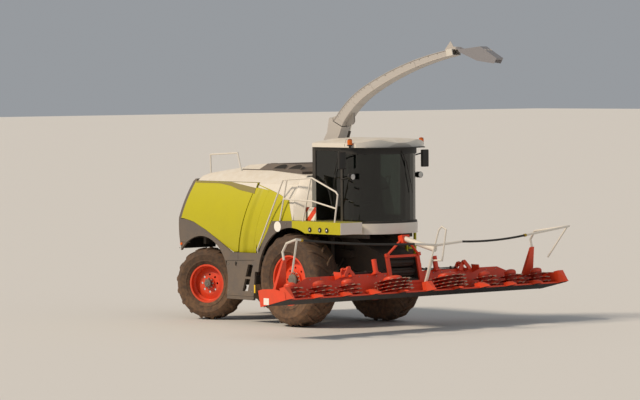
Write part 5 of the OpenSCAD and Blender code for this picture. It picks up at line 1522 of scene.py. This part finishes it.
@dataclass
class HeaderTrim:
    """Skids, drive shafts, hoses, bolts and the blank label of the maize header."""

    wall_h: float = 0.520
    fold_y: float = 1.585
    tip_y: float = 3.750
    # Snouts of a wing, from the middle
    wing_snouts: tuple[float, ...] = (2.250, 3.000, 3.750)
    skid_x: tuple[float, float] = (0.640, 0.790)
    shaft_x: float = -0.030
    shaft_z: float = 0.250
    # How far each drive shaft stops short of the fold
    shaft_gap: float = 0.052
    hose_r: float = 0.011
    hose_x: float = -0.045
    bolt_pitch: float = 0.22
    # Guide hoses: inner end, gap to the bars at both ends, sag, radius and steps
    bar_x: float = 1.145
    bar_y: float = 0.650
    bar_z: float = 0.905
    bar_gap: float = 0.0038
    guide_sag: float = 0.150
    guide_r: float = 0.022
    guide_steps: int = 24

    def build(self) -> None:
        """Builds the header's trim."""
        self.build_skids()
        self.build_shafts()
        self.build_hoses()
        self.build_bolts()
        self.build_blank_label()
        self.build_guide_hoses()

    def build_skids(self) -> None:
        """Builds the worn skid plates under the floor and the snouts, dark also as painted shade
        under the header.
        """
        back, front = self.skid_x
        for name, body, y0, y1, snouts in self.sections():
            bm = bmesh.new()
            add_box(bm, header_matrix(), (0.000, y0, -0.006), (back, y1, -0.0005))
            for y in snouts:
                add_box(bm, header_matrix(), (back, y - 0.055, -0.005), (front, y + 0.055, -0.0005))
            piece(f"skid_{name}", bm, "soil_black", body)

    def sections(self) -> list[tuple[str, str, float, float, tuple[float, ...]]]:
        """Header's three sections: name, body, both ends across and the snouts' places."""
        fold, tip = self.fold_y + 0.006, self.tip_y + 0.06
        return [("center", "header", -self.fold_y, self.fold_y, (-1.495, -0.75, 0.0, 0.75, 1.495)),
                ("right", "wing_right", -tip, -fold, tuple(-y for y in self.wing_snouts)),
                ("left", "wing_left", fold, tip, self.wing_snouts)]

    def build_shafts(self) -> None:
        """Builds the guarded drive shafts behind the wall, each with three collars."""
        inner, outer = self.fold_y - self.shaft_gap, self.fold_y + self.shaft_gap
        for side in Side:
            for name, body, y0, y1 in (("inner", "header", 0.46, inner),
                                       ("outer", f"wing_{side.word}", outer, 3.46)):
                bm = bmesh.new()
                a, b = (on_header(self.shaft_x, side.value * y, self.shaft_z) for y in (y0, y1))
                rod(bm, a, b, 0.024, 16)
                half = (b - a).normalized() * 0.045
                for share in (0.0, 0.5, 1.0):
                    middle = a.lerp(b, share)
                    rod(bm, middle - half, middle + half, 0.034, 16)
                piece(f"drive_shaft_{name}_{side.word}", bm, "black_moulding", body,
                      0.002)

    def build_hoses(self) -> None:
        """Builds the hydraulic hoses that feed the fold cylinders, clipped to the wall's top."""
        for side in Side:
            s = side.value
            bm = bmesh.new()
            for k in range(2):
                up = 0.020 + 0.026 * k
                top = self.wall_h + up
                route = [on_header(self.hose_x - 0.02 * k, s * 0.450, 0.560 + up),
                         on_header(self.hose_x, s * 0.62, top),
                         on_header(self.hose_x + 0.005, s * 1.00, top - 0.004),
                         on_header(self.hose_x, s * 1.35, top),
                         on_header(self.hose_x, s * 1.50, top)]
                tube(bm, route, self.hose_r, 8)
            piece(f"fold_hoses_{side.word}", bm, "hose_rubber", "header")
            bm = bmesh.new()
            for y in (0.66, 1.00, 1.34):
                block(bm, on_header(-0.07, s * y - 0.015, self.wall_h + 0.0005),
                      on_header(-0.02, s * y + 0.015, self.wall_h + 0.066))
            piece(f"hose_clips_{side.word}", bm, "black_moulding", "header", 0.002)

    def build_bolts(self) -> None:
        """Sets bolt heads along the wall's top flange."""
        for side in Side:
            for name, body, y0, y1 in (("inner", "header", 0.55, self.fold_y - 0.10),
                                       ("outer", f"wing_{side.word}", self.fold_y + 0.12, 2.55)):
                bm = bmesh.new()
                count = int((y1 - y0) / self.bolt_pitch)
                for i in range(count + 1):
                    y = side.value * (y0 + (y1 - y0) * i / count)
                    rod(bm, on_header(0.014, y, 0.470), on_header(0.024, y, 0.470), 0.011, 6)
                piece(f"wall_bolts_{name}_{side.word}", bm, "bare_steel", body)

    def build_blank_label(self) -> None:
        """Builds the blank white plate on the right wing's end."""
        bm = bmesh.new()
        block(bm, on_header(0.02, -3.833, 0.03), on_header(0.02, -3.8302, 0.03)
              + Vector((0.16, 0, 0.13)))
        piece("end_label", bm, "sign_white", "wing_right")

    def build_guide_hoses(self) -> None:
        """Builds the black hoses that join the guide bars across the folds."""
        left_y = 2.430
        for side, out_y in ((Side.RIGHT, 3.560), (Side.LEFT, left_y)):
            rise = 0.060 + (out_y - left_y) * 0.11
            route = []
            for i in range(self.guide_steps + 1):
                t = i / self.guide_steps
                y = self.bar_y + self.bar_gap + t * (out_y - self.bar_y - 2 * self.bar_gap)
                z = self.bar_z + t * rise - self.guide_sag * t * (1 - t)
                route.append(on_header(self.bar_x, side.value * y, z))
            bm = bmesh.new()
            tube(bm, route, self.guide_r, 14)
            hose = piece(f"guide_hose_{side.word}", bm, "hose_rubber", None)
            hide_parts("guide_hoses")
            fold = min(range(len(route)), key=lambda i: abs(abs(route[i].y) - self.fold_y))
            tuple(route[fold - 2])
            tuple(route[fold + 2])
            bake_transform(hose)
            bm = bmesh.new()
            way = (route[-1] - route[-2]).normalized()
            rod(bm, route[-1] - way * 0.004, route[-1] + way * 0.050, 0.031, 20)
            piece(f"hose_clamp_{side.word}", bm, "brass_clamp", f"wing_{side.word}",
                  0.002)


@dataclass
class SpoutTrim:
    """Flanges, collars, bolts, end clamp, flap clips and slewing bolts of the spout."""

    # The arm's middle line: its foot, and its slopes in degrees where it starts, changes and ends
    base: tuple[float, float] = (0.270, 4.170)
    slopes: tuple[float, float, float] = (60.0, 32.0, 11.0)
    # Radii of its two arcs, and the section's height at both ends
    radii: tuple[float, float] = (2.050, 5.600)
    heights: tuple[float, float] = (0.215, 0.125)
    half_w: float = 0.210
    # Slopes where the collars and the end clamp sit
    collars: tuple[float, ...] = (57.6, 44.0, 31.0, 20.0)
    clamp_slope: float = 11.75
    # Slewing ring's bolts
    ring_r: float = 0.270
    ring_bolts: int = 20

    def mid(self, slope: float) -> tuple[float, float]:
        """Middle line of the arm at a slope in degrees, as radius and height."""
        first, change, _ = self.slopes
        start, x, z = first, self.base[0], self.base[1]
        radius = self.radii[0]
        if slope <= change:
            a, b = math.radians(first), math.radians(change)
            x += radius * (math.sin(a) - math.sin(b))
            z += radius * (math.cos(b) - math.cos(a))
            start, radius = change, self.radii[1]
        a, b = math.radians(start), math.radians(slope)
        return x + radius * (math.sin(a) - math.sin(b)), z + radius * (math.cos(b) - math.cos(a))

    def height(self, slope: float) -> float:
        """Height of the arm's section at a slope."""
        first, change, last = self.slopes
        share = (0.33 * (first - slope) / (first - change) if slope > change
                 else 0.33 + 0.67 * (change - slope) / (change - last))
        return self.heights[0] + (self.heights[1] - self.heights[0]) * share

    def at(self, slope: float, y: float, up: float) -> Vector:
        """Point of the arm across and above its middle line.

        Args:
            slope: Slope of the arm there, in degrees.
            y: Place across the arm.
            up: Distance above the middle line, in metres.

        Returns:
            The point in the row frame.
        """
        x, z = self.mid(slope)
        a = math.radians(slope)
        return on_spout(x - up * math.sin(a), y, z + up * math.cos(a))

    def build(self) -> None:
        """Builds the spout's trim."""
        self.build_flanges()
        self.build_bands()
        self.build_end()
        self.build_ring_bolts()

    def build_flanges(self) -> None:
        """Folds a narrow flange along the arm's four long edges."""
        bm = bmesh.new()
        slopes = [59.5 - i * 2.0 for i in range(25)]
        for side in Side:
            for edge in (-1, 1):
                route = [self.at(a, side.value * (self.half_w + 0.002),
                                 edge * (self.height(a) / 2 - 0.006)) for a in slopes]
                tube(bm, route, 0.009, 4)
        piece("spout_flanges", bm, "spout_sheet", "spout_arm")

    def build_bands(self) -> None:
        """Builds the collars where the arm's sections join, and its wear-plate bolts."""
        wide = self.half_w + 0.001
        bm = bmesh.new()
        for slope in self.collars:
            half = self.height(slope) / 2 + 0.001
            ring = [self.at(slope, y, up) for y, up in (
                (-wide, -half), (wide, -half), (wide, half), (-wide, half), (-wide, -half))]
            for a, b in zip(ring, ring[1:]):
                tube(bm, [a, b], 0.007, 6)
        piece("spout_bands", bm, "spout_sheet", "spout_arm")
        bm = bmesh.new()
        for side in Side:
            for slope in (56.5 - i * 2.1 for i in range(22)):
                up = self.height(slope) * 0.30
                rod(bm, self.at(slope, side.value * self.half_w, up),
                    self.at(slope, side.value * (self.half_w + 0.007), up), 0.008, 6)
        piece("spout_bolts", bm, "bare_steel", "spout_arm")

    def build_end(self) -> None:
        """Builds the pale clamp at the arm's end and the clips of the flap."""
        slope = self.clamp_slope
        half = self.height(slope) / 2
        bm = bmesh.new()
        for side in Side:
            y0, y1 = side.value * (self.half_w + 0.001), side.value * (self.half_w + 0.016)
            corners = [self.at(slope + turn, y0, up) for turn, up in (
                (0.7, -half), (-0.7, -half), (-0.7, half + 0.01), (0.7, half + 0.01))]
            slab(bm, corners, self.at(slope, y1, 0) - self.at(slope, y0, 0))
        piece("spout_end_clamp", bm, "white_enamel", "spout_arm", 0.003)
        turn = Matrix.Rotation(SPOUT_TURN, 4, "Z") @ Matrix.Rotation(math.radians(34), 4, "Y")
        place = Matrix.Translation(on_spout(3.560, 0.0, 5.6735)) @ turn
        bm = bmesh.new()
        for y in (-0.15, 0.0, 0.15):
            add_box(bm, place, (-0.03, y - 0.012, -0.004), (0.03, y + 0.012, 0.004))
        piece("flap_clips", bm, "spout_sheet", "spout_flap", 0.001)

    def build_ring_bolts(self) -> None:
        """Builds the slewing ring's bolts."""
        bm = bmesh.new()
        for i in range(self.ring_bolts):
            angle = i * math.tau / self.ring_bolts
            x, y = self.ring_r * math.cos(angle), self.ring_r * math.sin(angle)
            rod(bm, on_spout(x, y, 3.3703), on_spout(x, y, 3.384), 0.010, 6)
        piece("slew_bolts", bm, "bare_steel", "spout_turret")


@dataclass
class RearTrim:
    """Rear lenses, side markers, the front wheel housings and the skirts at the back."""

    lens_x: float = -3.6605
    lens_z: tuple[float, float] = (1.908, 2.012)
    # Front wheel housing: its ends along the machine, its reach from the middle, foot and top
    housing_x: tuple[float, float] = (-1.120, -0.200)
    housing_y: tuple[float, float] = (0.566, 1.380)
    housing_z: tuple[float, float] = (1.420, 2.150)
    sheet: float = 0.008

    def build(self) -> None:
        """Builds both sides' pieces."""
        for side in Side:
            self.build_lens(side, "tail_lens", (1.095, 1.185), "red_lens")
            self.build_lens(side, "turn_lens", (1.189, 1.265), "amber_lens")
            self.build_marker(side)
            self.build_housing(side)
            self.build_skirt(side)

    def build_lens(self, side: Side, name: str, across: tuple[float, float], finish: str) -> None:
        """Builds one lens of a rear lamp.

        Args:
            side: Side of the machine.
            name: Name of the piece, without its side.
            across: Both ends from the machine's middle.
            finish: Name of its finish.
        """
        (y0, y1), (z0, z1) = side.span(*across), self.lens_z
        bm = bmesh.new()
        block(bm, machine(self.lens_x - 0.010, y0, z0), machine(self.lens_x, y1, z1))
        piece(f"{name}_{side.word}", bm, finish, "machine", 0.003)

    def build_marker(self, side: Side) -> None:
        """Builds the amber marker lamp on a side's rear end."""
        start = machine(-3.540, side.value * 1.4505, 1.600)
        bm = bmesh.new()
        rod(bm, start, start + Vector((0, side.value * 0.020, 0)), 0.032, 24, end_radius=0.026)
        piece(f"side_marker_{side.word}", bm, "amber_lens", "machine")

    def build_housing(self, side: Side) -> None:
        """Builds the dark sheets behind and inside a front wheel."""
        (back, front), (near, far), (z0, z1) = self.housing_x, self.housing_y, self.housing_z
        bm = bmesh.new()
        y0, y1 = side.span(near, near + self.sheet)
        block(bm, machine(back, y0, z0), machine(front, y1, z1))
        y0, y1 = side.span(near, far)
        block(bm, machine(back - self.sheet, y0, z0), machine(back, y1, z1))
        piece(f"wheel_housing_{side.word}", bm, "black_moulding", "machine", 0.002)

    def build_skirt(self, side: Side) -> None:
        """Builds the rubber skirt behind a rear wheel."""
        y0, y1 = side.span(0.500, 1.360)
        bm = bmesh.new()
        block(bm, machine(-3.5655, y0, 1.500), machine(-3.5575, y1, 1.700))
        piece(f"arch_skirt_{side.word}", bm, "hose_rubber", "machine", 0.002)


@dataclass
class PlatformTrim:
    """Anti-slip tread of the platforms and ladder steps, and the right platform's nose."""

    deck_z: float = 2.195
    steps_z: tuple[float, ...] = (0.64, 0.96, 1.28, 1.60)
    # Rows of tread bars along and across, their pitches and the size of a bar
    rows: tuple[int, int] = (18, 6)
    pitch: tuple[float, float] = (0.080, 0.088)
    bar: tuple[float, float, float] = (0.050, 0.010, 0.004)

    def build(self) -> None:
        """Builds the treads and the nose."""
        for side in Side:
            self.build_treads(side)
        self.build_ladder_treads()
        self.build_nose()

    def off_deck(self, side: Side, x: float, y: float) -> bool:
        """Whether a tread bar would lie past the left deck's end or its cut corner."""
        return side is Side.LEFT and (x > 1.00 or y > min(1.42, 1.40 - 0.85 * (x - 0.64)))

    def build_treads(self, side: Side) -> None:
        """Builds raised tread bars on one platform, turned to and fro."""
        bm = bmesh.new()
        for i in range(self.rows[0]):
            for j in range(self.rows[1]):
                x = 0.16 + i * self.pitch[0] + (0.02 if j % 2 else 0.0)
                y = 0.930 + j * self.pitch[1]
                if self.off_deck(side, x, y):
                    continue
                angle = math.radians(45 if (i + j) % 2 else -45)
                place = (Matrix.Translation(machine(x, side.value * y, self.deck_z + 0.0015))
                         @ Matrix.Rotation(angle, 4, "Z") @ Matrix.Diagonal((*self.bar, 1.0)))
                bmesh.ops.create_cube(bm, size=1.0, matrix=place)
        piece(f"tread_bars_{side.word}", bm, "bare_steel", "machine")

    def build_ladder_treads(self) -> None:
        """Builds four tread bars on each step of the ladder."""
        bm = bmesh.new()
        for z in self.steps_z:
            for i in range(4):
                y = 0.925 + i * 0.050
                block(bm, machine(1.004, y, z), machine(1.076, y + 0.016, z + 0.004))
        piece("ladder_tread", bm, "bare_steel", "machine")

    def build_nose(self) -> None:
        """Builds the white moulding over the right platform's front face, beside the apron."""
        bm = bmesh.new()
        block(bm, machine(1.6292, -1.448, 1.952), machine(1.636, -0.868, 2.190))
        piece("platform_nose", bm, "white_enamel", "machine", 0.002)


def build_machine() -> None:
    """Builds every sub-assembly's own pieces in order."""
    for side in Side:
        front_wheel(side).build()
        rear_wheel(side).build()
        BodyTrim(side).build()
    WarningPlate().build()
    HoodTrim().build()
    CabTrim().build()
    for rotor in rotors():
        rotor.build()
    HeaderTrim().build()
    SpoutTrim().build()
    RearTrim().build()
    PlatformTrim().build()


def main() -> None:
    """Builds the machine's looks."""
    logging.basicConfig(level=logging.INFO, format="%(message)s")
    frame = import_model()
    dress_nodes(frame)
    Studio().build()
    build_machine()


if __name__ == "__main__":
    main()
